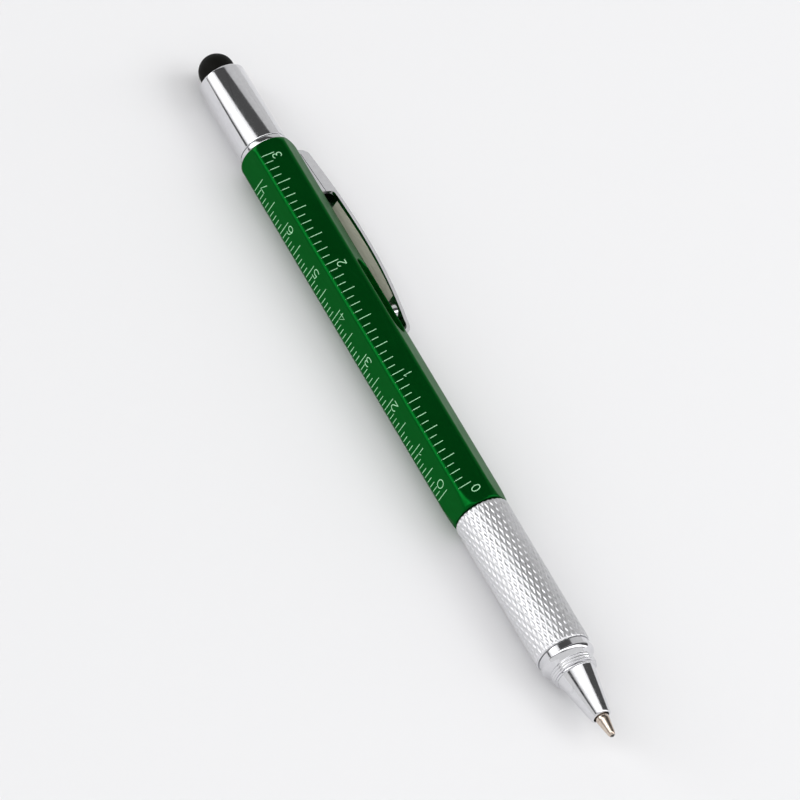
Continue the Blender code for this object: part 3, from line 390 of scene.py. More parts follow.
def hexagonRing(v):  # (angle, radius) round the rounded hexagon
    sixth, half = math.pi / 3.0, math.pi / 6.0
    centre = (v.flats / 2.0 - v.cornerRadius) / math.cos(half)

    def cornerPoint(middle, angle):
        return (centre * math.sin(middle) + v.cornerRadius * math.sin(angle),
                centre * math.cos(middle) + v.cornerRadius * math.cos(angle))

    ring = []
    for corner in range(6):
        middle = half + corner * math.pi / 3.0
        for step in range(v.cornerSteps + 1):
            ring.append(cornerPoint(middle, middle + (step / v.cornerSteps - 0.5) * math.pi / 3.0))
        start, end = ring[-1], cornerPoint(middle + sixth, middle + sixth - half)
        for step in range(1, v.faceSteps):
            share = step / v.faceSteps
            ring.append((start[0] + (end[0] - start[0]) * share, start[1] + (end[1] - start[1]) * share))
    return [(math.atan2(y, z), math.hypot(y, z)) for y, z in ring]


def stadium(length, width, steps=16):  # a slot's outline with round ends
    radius = width / 2.0
    return (arc(length / 2.0 - radius, 0.0, radius, radius, -90.0, 90.0, steps)
            + arc(radius - length / 2.0, 0.0, radius, radius, 90.0, 270.0, steps))


def windowCutter(v):  # it flares at the face, which eases the rim
    top, rim = v.flats / 2.0, v.windowRim
    levels = [(v.cutFrom, 0.0), (top - rim, 0.0), (top + rim, 2.0 * rim)]
    loops = [[(x, y, z) for x, y in stadium(v.windowLength + 2.0 * wider, v.windowWidth + 2.0 * wider)]
             for z, wider in levels]
    window = ringsToMesh(loops, False)
    for z in (levels[0][0], levels[-1][0]):  # closes both ends
        edges = [edge for edge in window.edges if len(edge.link_faces) == 1
                 and all(abs(vert.co.z - z) < 0.001 for vert in edge.verts)]
        bmesh.ops.contextual_create(window, geom=edges)
    middle = stations["window"] - stations["barrel"] + v.windowLength / 2.0
    return rotated(moved(window, (middle, 0.0, 0.0)), faceTurn(faces["level"]))


def makeBarrel():
    v = SimpleNamespace(**barrelValues)
    ring = hexagonRing(v)
    cornerReach = max(r for angle, r in ring)
    full = cornerReach + v.clearance
    nibStart = v.length - v.nibRound
    envelopes = arc(v.topRound, v.topEnd, v.topRound, full - v.topEnd, 180.0, 90.0, v.topSteps)
    for step in range(v.taperSteps):  # the corners are eased before the nib's end
        share = step / v.taperSteps
        envelopes.append((nibStart - (1.0 - share) * v.nibTaper,
                          full - (full - v.nibTaperEnd) * share * share))
    envelopes += arc(nibStart, v.nibEnd, v.nibRound, v.nibTaperEnd - v.nibEnd, 90.0, 0.0,
                     v.nibSteps)
    rings = []
    for x, envelope in envelopes:
        points = []
        for angle, reach in ring:
            r = softMin(reach, envelope, v.crease) if envelope < cornerReach else reach
            points.append((x, r * math.sin(angle), r * math.cos(angle)))
        rings.append(points)
    for x, r in ((v.length, v.bore + v.chamfer), (v.length - v.chamfer, v.bore),
                 (v.chamfer, v.bore), (0.0, v.bore + v.chamfer)):
        rings.append([(x, r * math.sin(angle), r * math.cos(angle)) for angle, unused in ring])
    barrel = meshObject("hexBarrel", ringsToMesh(rings, True))
    half = v.hookSlotHalf
    hookSlot = rotated(block(v.hookSlot, (-half, half), (v.cutFrom, v.flats / 2.0 + v.cutSpare)),
                       faceTurn(faces["clip"]))
    carved(barrel, [(windowCutter(v), "DIFFERENCE"), (hookSlot, "DIFFERENCE")])
    finishPiece(barrel, "greenAnodised", "barrel", ["barrel"], stations["barrel"],
                sharp=32.0, flats=True)


makeBarrel()


# Printed scales

scaleValues = {
    "inch": {"face": "inch", "zero": stations["inchZero"], "length": 24.957, "parts": 16, "count": 3,
             "start": -2.49, "ends": {16: 0.06, 4: 0.06, 2: -0.48, 1: -0.89}, "lean": 0.146,
             "digitFrom": -0.56, "digitHigh": 1.55, "digitWide": 0.98, "digitShift": {0: 1.12},
             "usualShift": 1.0, "shiftStep": -0.06},
    "centimetre": {"face": "centimetre", "zero": stations["centimetreZero"], "length": 10.0, "parts": 10,
                   "count": 7, "start": -2.4, "ends": {10: 0.65, 5: 0.35, 1: -0.97}, "lean": 0.0,
                   "digitFrom": -0.76, "digitHigh": 1.56, "digitWide": 1.36, "digitShift": {0: -1.73, 7: 1.2},
                   "usualShift": 1.15, "shiftStep": 0.03},
    "lineWidth": 0.135, "digitLine": 0.16, "inkHeight": 0.012, "inkSunk": 0.001,
}

flatHalf = (barrelValues["flats"] / 2.0 - barrelValues["cornerRadius"]) * math.tan(math.pi / 6.0)

strokes = {  # (smooth or not, points in a unit box)
    0: [(True, [(0.5, 1.0), (0.16, 0.88), (0.0, 0.5), (0.16, 0.12), (0.5, 0.0), (0.84, 0.12), (1.0, 0.5),
                (0.84, 0.88), (0.5, 1.0)])],
    1: [(False, [(0.22, 0.76), (0.60, 1.0), (0.60, 0.0)])],
    2: [(True, [(0.04, 0.74), (0.16, 0.92), (0.48, 1.0), (0.82, 0.93), (0.94, 0.73), (0.82, 0.50),
                (0.45, 0.26), (0.06, 0.0)]),
        (False, [(0.06, 0.0), (0.98, 0.0)])],
    3: [(True, [(0.06, 0.85), (0.24, 0.97), (0.5, 1.0), (0.8, 0.93), (0.9, 0.76), (0.78, 0.58),
                (0.45, 0.53)]),
        (True, [(0.45, 0.53), (0.82, 0.47), (0.97, 0.27), (0.82, 0.07), (0.48, 0.0), (0.2, 0.03),
                (0.03, 0.16)])],
    4: [(False, [(0.74, 0.0), (0.74, 1.0), (0.02, 0.30), (1.0, 0.30)])],
    5: [(False, [(0.90, 1.0), (0.20, 1.0), (0.12, 0.56)]),
        (True, [(0.12, 0.56), (0.40, 0.64), (0.76, 0.58), (0.95, 0.33), (0.80, 0.07), (0.45, 0.0),
                (0.04, 0.11)])],
    6: [(True, [(0.86, 0.92), (0.58, 1.0), (0.28, 0.90), (0.08, 0.60), (0.05, 0.32), (0.20, 0.07), (0.5, 0.0),
                (0.8, 0.08), (0.95, 0.30), (0.8, 0.53), (0.5, 0.60), (0.2, 0.50), (0.06, 0.33)])],
    7: [(False, [(0.04, 1.0), (0.96, 1.0), (0.34, 0.0)])],
}


def throughPoints(points, steps=6):  # a smooth line through the points
    loop = points[0] == points[-1]
    line = []
    for i in range(len(points) - 1):
        a = points[i - 1] if i > 0 else (points[-2] if loop else points[0])
        b, c = points[i], points[i + 1]
        d = points[i + 2] if i + 2 < len(points) else (points[1] if loop else points[-1])
        for step in range(steps):
            t = step / steps
            line.append(tuple(0.5 * (2.0 * b[k] + (c[k] - a[k]) * t
                                     + (2.0 * a[k] - 5.0 * b[k] + 4.0 * c[k] - d[k]) * t * t
                                     + (3.0 * b[k] - a[k] - 3.0 * c[k] + d[k]) * t ** 3) for k in (0, 1)))
    line.append(points[-1])
    return line


def inkLines(name, lines, faceName):  # raised ink on a face, from (points, width)
    v = SimpleNamespace(**scaleValues)
    corner = barrelValues["cornerRadius"]
    result = bmesh.new()
    for width in sorted({width for points, width in lines}):
        curve = bpy.data.curves.new(name, "CURVE")
        curve.dimensions = "3D"
        curve.bevel_depth = width / 2.0
        curve.bevel_resolution = 2
        curve.use_fill_caps = True
        for points, lineWidth in lines:
            if lineWidth != width:
                continue
            spline = curve.splines.new("POLY")
            spline.points.add(len(points) - 1)
            for place, (x, y) in zip(spline.points, points):
                place.co = (x, y, 0.0, 1.0)
        holder = newObject(name, curve)
        bpy.context.view_layer.update()
        mesh = bpy.data.meshes.new_from_object(holder.evaluated_get(bpy.context.evaluated_depsgraph_get()))
        flat = bmesh.new()
        flat.from_mesh(mesh)
        bmesh.ops.scale(flat, verts=flat.verts, vec=(1.0, 1.0, v.inkHeight * 2.0 / width))
        flat.to_mesh(mesh)
        flat.free()
        result.from_mesh(mesh)
        bpy.data.objects.remove(holder, do_unlink=True)
    moved(result, (0.0, 0.0, barrelValues["flats"] / 2.0 - v.inkSunk))
    for vert in result.verts:  # the marks' ends follow the rounded corner
        over = max(0.0, abs(vert.co.y) - flatHalf)
        vert.co.z -= corner - math.sqrt(corner ** 2 - over ** 2)
    item = meshObject(name, result, clean=False)
    finishPiece(item, "paleInk", "barrel", face=faces[faceName], sharp=50.0)


def makeScale(name, values):  # the marks lean more towards the scale's zero
    lines = []
    total = values["parts"] * values["count"]
    for part in range(total + 1):
        x = values["zero"] - values["length"] * part / values["parts"]
        lean = values["lean"] * (1.0 - part / total)
        step = max(size for size in values["ends"] if part % size == 0)
        levels = (values["start"], -flatHalf, values["ends"][step])
        lines.append(([(x - lean * (y - values["start"]), y) for y in levels], scaleValues["lineWidth"]))
    for digit in range(values["count"] + 1):
        shift = values["digitShift"].get(digit, values["usualShift"]) + values["shiftStep"] * digit
        right = values["zero"] - values["length"] * digit + shift + values["digitWide"] / 2.0
        lean = values["lean"] * (1.0 - digit / values["count"]) * values["digitHigh"]
        for curved, points in strokes[digit]:
            placed = [(right - px * values["digitWide"] - lean * (0.5 - py),
                       values["digitFrom"] + (1.0 - py) * values["digitHigh"])
                      for px, py in (throughPoints(points) if curved else points)]
            lines.append((placed, scaleValues["digitLine"]))
    inkLines(name, lines, values["face"])


makeScale("inchScale", scaleValues["inch"])
makeScale("centimetreScale", scaleValues["centimetre"])


# Cap and stylus

capValues = {"length": 16.75, "mouth": 4.5, "end": 4.4, "rim": 0.45, "seatDepth": 3.0, "seat": 3.36,
             "bore": 3.75, "boreStart": 3.9, "boreRound": 0.2, "lip": 0.15, "lipRound": 0.1,
             "mouthRound": 0.16, "mouthGap": 0.05, "seatRound": (0.1, 0.08),
             "thread": 0.12, "threadPitch": 0.8, "threadCount": 5, "threadStart": 0.4, "threadRound": 0.1}


def makeCap():
    v = SimpleNamespace(**capValues)
    mouth = v.length - v.mouthGap
    inner, outer = v.seatRound
    profile = [(v.seatDepth, 0.0, 0.0), (v.seatDepth, v.seat, inner), (0.0, v.seat, outer),
               (0.0, v.end, v.rim), (mouth, v.mouth, v.mouthRound),
               (mouth, v.bore + v.lip, v.lipRound)]
    for turn in range(v.threadCount):  # thread rings inside the mouth
        x = v.length - v.threadStart - turn * v.threadPitch
        profile += [(x, v.bore, v.threadRound),
                    (x - v.threadPitch / 2.0, v.bore + v.thread, v.threadRound)]
    profile += [(v.boreStart, v.bore, v.boreRound), (v.boreStart, 0.0, 0.0)]
    cap = meshObject("chromeCap", turned(softened(profile)))
    finishPiece(cap, "polishedChrome", "cap", ["stylus_cap"], stations["cap"], sharp=40.0)


stylusValues = {"radius": 3.3, "straight": 1.85, "wall": 0.9, "depth": 2.95, "step": 0.05, "stepFrom": 0.1,
                "outerSteps": 24, "innerSteps": 12}


def makeStylus():
    v = SimpleNamespace(**stylusValues)
    inner, seated = v.radius - v.wall, v.radius - v.step
    profile = arc(-v.straight, 0.0, v.radius, v.radius, 180.0, 90.0, v.outerSteps)
    profile[0] = (profile[0][0], 0.0)
    profile += [(-v.stepFrom, v.radius), (0.0, seated), (v.depth, seated), (v.depth, inner)]
    profile += arc(-v.straight, 0.0, inner, inner, 90.0, 180.0, v.innerSteps)
    profile[-1] = (profile[-1][0], 0.0)
    dome = meshObject("stylusDome", turned(profile))
    finishPiece(dome, "softRubber", "cap", ["stylus_tip"], stations["cap"], sharp=40.0)


makeCap()
makeStylus()


# Neck, thread and bit holder

neckValues = {"neck": 4.4, "neckLength": 1.0, "neckGap": 0.05, "shoulder": 3.4, "edge": 0.14, "stub": 4.0,
              "crest": 3.65, "depth": 0.28, "pitch": 0.8, "rise": (0.08, 0.42), "fall": (0.58, 0.92),
              "fadeIn": 0.5, "fadeOut": (0.7, 0.3), "flats": 4.12, "flare": 0.25, "body": 3.7,
              "bodyLength": 19.75, "bodyEnd": 3.0, "bodyRound": 0.2,
              "notch": ((-0.025, 3.3), (-1.4, 1.4), (2.6, 4.8)), "sides": 96, "rows": 60}


def makeNeck():
    v = SimpleNamespace(**neckValues)
    start = -v.neckLength - v.stub
    end = start + v.stub
    phase = math.pi / 6.0  # half a side of the hexagon hole

    angles = [2.0 * math.pi * i / v.sides for i in range(v.sides)]

    def hexagonHole(x, extra):
        return ringAt(x, [(v.flats / 2.0 + extra) / math.cos((angle + phase) % (math.pi / 3.0) - phase)
                          for angle in angles], phase)

    rings = [hexagonHole(start + v.flare, 0.0), hexagonHole(start, v.flare)]
    for row in range(v.rows + 1):  # a real helix, faded at the stub's ends
        x = start + v.stub * row / v.rows
        fade = (smooth(start, start + v.fadeIn, x)
                * (1.0 - smooth(end - v.fadeOut[0], end - v.fadeOut[1], x)))
        radii = []
        for angle in angles:
            turn = (x / v.pitch - angle / (2.0 * math.pi)) % 1.0
            height = smooth(*v.rise, turn) * (1.0 - smooth(*v.fall, turn))
            radii.append(v.crest - v.depth * (1.0 - height * fade))
        rings.append(ringAt(x, radii, phase))
    profile = softened([(-v.neckLength, v.shoulder, 0.0), (-v.neckLength, v.neck, v.edge),
                        (-v.neckGap, v.neck, v.edge), (-v.neckGap, v.body, 0.0),
                        (v.bodyLength, v.body, v.bodyRound), (v.bodyLength, v.bodyEnd, 0.0)])
    rings += [ringAt(x, [r] * v.sides, phase) for x, r in profile[1:]]
    rings.append(hexagonHole(v.bodyLength, 0.0))
    neck = meshObject("threadedNeck", ringsToMesh(rings, True))
    carved(neck, [(rotated(block(*v.notch), faceTurn(faces["clip"])), "DIFFERENCE")])
    finishPiece(neck, "polishedChrome", "barrel", ["tool_holder"], stations["barrel"], sharp=38.0)


makeNeck()

bitValues = {"flats": 4.0, "length": 28.0, "proud": 11.65, "hexLength": 12.0, "hexSlope": 0.6,
             "hexSpare": 0.1, "overlap": 0.01, "shank": 1.7, "point": 0.5, "tip": 3.0, "flute": 1.1,
             "fluteBite": 0.45, "blade": 0.6, "wedgeHalf": 3.0, "cutSpare": 1.0,
             "edge": (0.06, 2, 25.0), "sides": 64}  # edge: width, steps, least angle


def makeBit():
    v = SimpleNamespace(**bitValues)
    start = (v.length - v.hexLength) / 2.0
    end = start + v.hexLength
    low, high = start - v.overlap, end + v.overlap
    corner = v.flats / math.sqrt(3.0)
    hexagon = [(corner * math.sin(i * math.pi / 3.0), corner * math.cos(i * math.pi / 3.0)) for i in range(6)]
    body = meshObject("driverBit", prism(hexagon, start, end, "x"))
    ends = turned([(low, 0.0), (low, v.shank), (start + v.hexSlope, corner + v.hexSpare),
                   (end - v.hexSlope, corner + v.hexSpare), (high, v.shank), (high, 0.0)],
                  v.sides)
    shank = turned([(0.0, 0.0), (0.0, v.point), (v.tip, v.shank), (v.length, v.shank),
                    (v.length, 0.0)], v.sides)
    tools = [(ends, "INTERSECT"), (shank, "UNION")]
    bite = (v.fluteBite, v.fluteBite + v.flute)
    for flute in range(4):  # the cross point
        quarter = Matrix.Rotation(flute * math.pi / 2.0, 3, "X")
        cutter = rotated(block((-v.cutSpare, v.tip), bite, bite), quarter)
        tools.append((cutter, "DIFFERENCE"))
    tipStart, beyond = v.length - v.tip, v.length + v.cutSpare
    outside = v.shank + v.cutSpare
    for side in (-1.0, 1.0):  # the flat blade
        wedge = [(tipStart, side * v.shank), (beyond, side * v.blade / 2.0),
                 (beyond, side * outside), (tipStart, side * outside)]
        tools.append((prism(wedge, -v.wedgeHalf, v.wedgeHalf, "y"), "DIFFERENCE"))
    carved(body, tools)
    roundedEdges(body, *v.edge)
    finishPiece(body, "hardSteel", "bit", ["screwdriver_bit"], stations["barrel"] - v.proud,
                sharp=25.0)


makeBit()


# Clip

clipValues = {"length": 42.25, "width": 4.5, "thickness": 0.7, "height": 4.25, "startHeight": 2.35,
              "noseRound": 1.0, "peakShare": 0.498, "foot": 9.8, "frontWall": 1.2, "curl": 2.8,
              "curlHeight": 2.15, "seat": 0.2, "archRadius": 0.8, "archFlat": 0.85,
              "edge": (0.18, 3, 40.0),  # width, steps, least angle
              "noseSteps": 10, "topSteps": 44, "curlSteps": (12, 10), "underSteps": 30, "archSteps": 8,
              "cavitySteps": 10, "cavityDrop": 1.0, "bumpSides": 48, "dentSteps": (40, 20),
              "dimpleFromTip": 5.9, "dimpleRadius": 1.8, "dimpleGap": 0.3, "dimpleSkirt": (0.5, 0.15),
              "dimpleNose": [(0.0, 0.25), (0.08, 0.48), (0.3, 0.72)], "dentRadius": 0.95, "dentDepth": 0.42,
              "dentRise": 0.06, "seamRise": (0.45, 1.25), "seamWidth": 0.16, "seamDepth": 0.3,
              "seamFrom": 1.0, "seamBeyond": 1.0, "seamSpare": 0.5,
              "hookHalf": 1.0,
              "hook": [(0.85, 1.1), (0.85, -0.6), (0.25, -0.6), (0.25, -1.6), (2.0, -1.6), (2.0, 1.1)],
              # where the arm's inner face gets the painted reflection: along the clip, and how squarely it
              # faces the barrel
              "satinFrom": 11.5, "satinTo": 34.0, "satinFacing": -0.93,
              "polishedRim": (0.75, 0.25)}  # from the arm's edge, at its foot and at its tip


def clipTop(x):
    v = SimpleNamespace(**clipValues)
    peak = v.length * v.peakShare
    if x < peak:
        share = (peak - x) / peak
        return v.height - (v.height - v.startHeight) * share * share
    share = (x - peak) / (v.length - v.curl - peak)
    return v.height - (v.height - v.curlHeight) * share * share


def clipLine(start, end, drop, steps):
    return [(start + (end - start) * i / steps, clipTop(start + (end - start) * i / steps) - drop)
            for i in range(steps + 1)]


def clipOutline(v):  # the arm, its curl and its foot from the side
    seat, thick = v.seat, v.thickness
    curlStart, archEnd = v.length - v.curl, v.foot + v.archRadius
    archHigh = v.archRadius * v.archFlat
    archTop = clipTop(archEnd) - thick
    outerSteps, innerSteps = v.curlSteps
    outline = arc(v.noseRound, seat, v.noseRound, clipTop(v.noseRound) - seat, 180.0, 90.0,
                  v.noseSteps)
    outline += clipLine(v.noseRound, curlStart, 0.0, v.topSteps)[1:]
    outline += arc(curlStart, seat, v.curl, v.curlHeight - seat, 90.0, 0.0, outerSteps)[1:]
    outline += arc(curlStart, seat, v.curl - thick, v.curlHeight - seat - thick, 0.0, 90.0,
                   innerSteps)
    outline += clipLine(archEnd, curlStart, thick, v.underSteps)[-2::-1]
    outline += arc(archEnd, archTop - archHigh, v.archRadius, archHigh, 90.0, 180.0,
                   v.archSteps)[1:]
    return outline + [(v.foot, seat)]


def makeClip():
    v = SimpleNamespace(**clipValues)
    side = v.width / 2.0
    clip = meshObject("pocketClip", prism(clipOutline(v), -side, side, "y"))
    archEnd = v.foot + v.archRadius
    cavity = (clipLine(v.frontWall, archEnd, v.thickness, v.cavitySteps)
              + [(archEnd, -v.cavityDrop), (v.frontWall, -v.cavityDrop)])
    carved(clip, [(prism(cavity, v.thickness - side, side - v.thickness, "y"), "DIFFERENCE")])
    roundedEdges(clip, *v.edge)

    dimpleAt = v.length - v.dimpleFromTip
    middle = clipTop(dimpleAt) - v.thickness / 2.0
    bumpHeight = middle - v.dimpleGap
    skirt, spread = v.dimpleSkirt
    bump = turned([(-bumpHeight, 0.0)] + [(back - bumpHeight, r) for back, r in v.dimpleNose]
                  + [(-skirt, v.dimpleRadius - spread), (0.0, v.dimpleRadius), (0.0, 0.0)], v.bumpSides)
    moved(rotated(bump, Matrix.Rotation(-math.pi / 2.0, 3, "Y")), (dimpleAt, 0.0, middle))
    dent = ellipsoid((v.dentRadius, v.dentRadius, v.dentDepth),
                     (dimpleAt, 0.0, clipTop(dimpleAt) + v.dentRise), *v.dentSteps)
    low, high = v.seamRise  # the foot's cover ends in a thin seam
    seamStart, seamEnd = v.seamFrom, v.foot + v.seamBeyond
    seam = [(seamStart, low), (seamEnd, high), (seamEnd, high + v.seamWidth),
            (seamStart, low + v.seamWidth)]
    carved(clip, [(prism(v.hook, -v.hookHalf, v.hookHalf, "y"), "UNION"), (bump, "UNION"),
                  (dent, "DIFFERENCE"),
                  (prism(seam, -side - v.seamSpare, v.seamDepth - side, "y"), "DIFFERENCE"),
                  (prism(seam, side - v.seamDepth, side + v.seamSpare, "y"), "DIFFERENCE")])

    footRim, tipRim = v.polishedRim
    rimStart, rimEnd = Vector((v.foot, footRim - side, 0.0)), Vector((v.length, tipRim - side, 0.0))
    halves = bmesh.new()  # an edge where the satin face with its painted reflection meets the polished rim
    halves.from_mesh(clip.data)
    bmesh.ops.bisect_plane(halves, geom=halves.verts[:] + halves.edges[:] + halves.faces[:],
                           plane_co=rimStart * mm,
                           plane_no=(rimEnd - rimStart).cross(Vector((0.0, 0.0, 1.0))).normalized())
    halves.to_mesh(clip.data)
    halves.free()
    finishPiece(clip, "polishedChrome", "clip", ["clip"], stations["clip"],
                barrelValues["flats"] / 2.0, faces["clip"], sharp=30.0, flats=True)

    turn = penMatrix.to_3x3() @ faceTurn(faces["clip"])
    outward, sideways = turn @ Vector((0.0, 0.0, 1.0)), turn @ Vector((0.0, 1.0, 0.0))
    clip.data.materials.append(materials["satinPaintedReflection"])  # the arm's side that faces the barrel, coloured with a painted reflection
    for polygon in clip.data.polygons:
        along = polygon.center.x / mm - stations["clip"]
        aside = (polygon.center - penMatrix.translation).dot(sideways) / mm
        rim = footRim + (tipRim - footRim) * (along - v.foot) / (v.length - v.foot)
        if (polygon.normal.dot(outward) < v.satinFacing and v.satinFrom < along < v.satinTo
                and aside > rim - side):
            polygon.material_index = 1


makeClip()


# Spirit level

levelValues = {"offset": 1.0, "radius": 2.6, "bore": 1.9, "length": 18.2, "plug": 2.2, "plugGap": 0.05,
               "bubbleLength": 5.6, "bubbleWidth": 2.4, "bubbleDepth": 0.9, "lineSpan": 6.4, "lineWidth": 0.5,
               "lineHeight": 0.08, "lineEdge": (0.03, 0.02), "gap": 0.06, "tubeRound": (0.1, 0.25),
               "liquidRound": 0.1, "plugRound": 0.15, "sides": 96, "plugSides": 64,
               "bubbleSteps": (48, 24)}


def makeLevel():
    v = SimpleNamespace(**levelValues)
    middle = stations["window"] + barrelValues["windowLength"] / 2.0
    half = v.length / 2.0

    def levelPiece(name, finish, node, profile, sides=v.sides, tools=()):
        item = meshObject(name, turned(profile, sides))
        if tools:
            carved(item, tools)
        finishPiece(item, finish, "barrel", [node], middle, v.offset, faces["level"])

    inside = v.bore - v.gap
    wet = half - v.plug - v.plugGap
    bubble = ellipsoid((v.bubbleLength / 2.0, v.bubbleWidth / 2.0, v.bubbleDepth),
                       (0.0, 0.0, inside), *v.bubbleSteps, math.pi / 2.0)
    inner, outer = v.tubeRound
    levelPiece("levelTube", "clearTube", "level_vial",
               softened([(-half, v.bore, inner), (-half, v.radius, outer), (half, v.radius, outer),
                         (half, v.bore, inner)]))
    levelPiece("levelLiquidPaintedGlow", "levelLiquidPaintedGlow", "vial_liquid",
               softened([(-wet, 0.0, 0.0), (-wet, inside, v.liquidRound), (wet, inside, v.liquidRound),
                         (wet, 0.0, 0.0)]),
               tools=[(bubble, "DIFFERENCE")])
    bore = v.radius + v.gap
    lineTop = bore + v.lineHeight
    edgeLong, edgeHigh = v.lineEdge
    for name, side, node in (("capSide", -1.0, "cap_side"), ("nibSide", 1.0, "nib_side")):
        start, end = sorted((side * half, side * (half - v.plug)))
        levelPiece("levelPlug." + name, "whiteMoulded", "vial_plug_" + node,
                   softened([(start, 0.0, 0.0), (start, inside, v.plugRound),
                             (end, inside, v.plugRound), (end, 0.0, 0.0)]), v.plugSides)
        centre = side * v.lineSpan / 2.0
        low, high = centre - v.lineWidth / 2.0, centre + v.lineWidth / 2.0
        levelPiece("levelLine." + name, "blackMoulded", "vial_line_" + node,
                   [(low, bore), (low, lineTop - edgeHigh), (low + edgeLong, lineTop),
                    (high - edgeLong, lineTop), (high, lineTop - edgeHigh), (high, bore)])


makeLevel()


# Knurled grip

gripValues = {"radius": 4.95, "length": 29.45, "starts": 32, "pitch": 2.69, "depth": 0.13,
              "ridgeHalf": 0.10, "slope": 0.26, "aroundSteps": 12, "alongSteps": 20, "edge": 0.22,
              "edgeDrop": 0.15, "fade": (0.05, 0.3), "spigot": 3.3, "spigotLength": 9.2, "bore": 2.81,
              "boreEnd": 8.05, "middleBore": 3.1, "threadBore": 3.5, "threadDepth": 8.0, "threadRound": 0.2,
              "spigotRound": (0.1, 0.2)}


def makeGrip():
    v = SimpleNamespace(**gripValues)
    sides = v.starts * v.aroundSteps
    rows = int(v.length / v.pitch * v.alongSteps)
    rings = []
    for row in range(rows + 1):
        x = v.length * row / rows
        edge = max(smooth(v.edge, 0.0, x) if x < v.edge else 0.0,
                   smooth(v.length - v.edge, v.length, x))
        fade = smooth(v.length + v.fade[0], v.length - v.fade[1], x)
        radii = []
        for i in range(sides):  # two sets of slanted ridges cross in the knurl
            around, along = i / v.aroundSteps, x / v.pitch
            net = 0.0
            for line in (around + along, around - along):
                gap = abs(line - round(line))
                net = max(net, 1.0 - smooth(v.ridgeHalf, v.ridgeHalf + v.slope, gap))
            radii.append(v.radius - v.depth * (1.0 - net) * fade - edge * v.edgeDrop)
        rings.append(ringAt(x, radii))
    threadEnd = v.length - v.threadDepth
    inside, outside = v.spigotRound
    inner = softened([(v.length, v.threadBore, v.threadRound), (threadEnd, v.threadBore, 0.0),
                      (threadEnd, v.middleBore, 0.0), (v.boreEnd, v.middleBore, 0.0),
                      (v.boreEnd, v.bore, 0.0), (-v.spigotLength, v.bore, inside),
                      (-v.spigotLength, v.spigot, outside), (0.0, v.spigot, 0.0)])
    rings += [ringAt(x, [r] * sides) for x, r in inner]
    grip = meshObject("knurledGrip", ringsToMesh(rings, True))
    finishPiece(grip, "knurledChrome", "grip", ["grip_sleeve"], stations["grip"], sharp=60.0)


makeGrip()


# Nose cone

noseValues = {"collarLength": 1.3, "collar": 4.65, "flangeLength": 0.3, "flange": 4.85, "slope": 1.15,
              "slopeDrop": 0.22, "ribPitch": 0.53, "ribCount": 3, "rib": 4.1, "ribDepth": 0.25, "ring": 3.83,
              "ringLength": 0.31, "coneBase": 3.45, "coneEnd": 1.75, "length": 13.45, "bore": 1.35,
              "boreFrom": 2.0, "mouth": 1.42, "mouthDepth": 1.0, "spigot": 3.44, "spigotLength": 7.5,
              "seatGap": 0.05, "threadStart": 0.6, "threadPitch": 0.8, "threadCount": 8, "threadDepth": 0.2,
              "threadRound": 0.1, "spigotRound": 0.2, "collarRound": (0.08, 0.05),
              "flangeRound": (0.12, 0.15), "slopeRound": (0.3, 0.12), "ribRound": (0.2, 0.1),
              "ringRound": (0.06, 0.1), "coneRound": 0.08, "endRound": (0.3, 0.08)}


def makeNose():
    v = SimpleNamespace(**noseValues)
    ribFoot = v.rib - v.ribDepth
    profile = [(-v.spigotLength, v.bore, 0.0), (-v.spigotLength, v.spigot, v.spigotRound)]
    for turn in range(v.threadCount):  # the thread that holds the nose in the grip
        x = -v.spigotLength + v.threadStart + turn * v.threadPitch
        profile += [(x, v.spigot, v.threadRound),
                    (x + v.threadPitch / 2.0, v.spigot - v.threadDepth, v.threadRound)]
    x = v.collarLength + v.flangeLength
    (collarBack, collarFront), (flangeBack, flangeFront) = v.collarRound, v.flangeRound
    (slopeTop, slopeFoot), (ribTop, groove) = v.slopeRound, v.ribRound
    (ringFoot, ringEdge), (endOutside, endInside) = v.ringRound, v.endRound
    profile += [(v.seatGap, v.spigot, 0.0), (v.seatGap, v.collar, collarBack),
                (v.collarLength, v.collar, collarFront), (v.collarLength, v.flange, flangeBack),
                (x, v.flange, flangeFront), (x + 0.5 * v.slope, v.flange - v.slopeDrop, slopeTop),
                (x + v.slope, ribFoot, slopeFoot)]
    x += v.slope
    for rib in range(v.ribCount):
        profile += [(x + v.ribPitch / 2.0, v.rib, ribTop)]
        x += v.ribPitch
        profile += [(x, ribFoot, groove)] if rib < v.ribCount - 1 else []
    ringEnd = x + v.ringLength
    profile += [(x, v.ring - v.ribDepth, ringFoot), (x, v.ring, ringEdge),
                (ringEnd, v.ring, ringEdge), (ringEnd, v.coneBase, v.coneRound),
                (v.length, v.coneEnd, endOutside), (v.length, v.mouth, endInside),
                (v.length - v.mouthDepth, v.mouth, 0.0),
                (v.length - v.boreFrom, v.bore, 0.0)]
    nose = meshObject("noseCone", turned(softened(profile)))
    finishPiece(nose, "polishedChrome", "nose", ["nose_cone"], stations["nose"], sharp=40.0)


makeNose()


# Refill

refillValues = {"tipBody": 9.8, "spigot": 2.0, "spigotRadius": 0.815, "radius": 1.15, "straight": 0.6,
                "proud": 4.1, "endRadius": 0.6, "lipLength": 0.35, "lipRise": 0.05, "lipDrop": 0.12,
                "ball": 0.4, "ballProud": 0.25, "socketGap": (0.02, 0.03),
                "socketDepth": (0.2, 0.55, 0.6), "channel": 0.2, "spigotRound": 0.1, "bodyRound": 0.08,
                "coneRound": 0.12, "lipRound": (0.1, 0.06), "sides": 96}


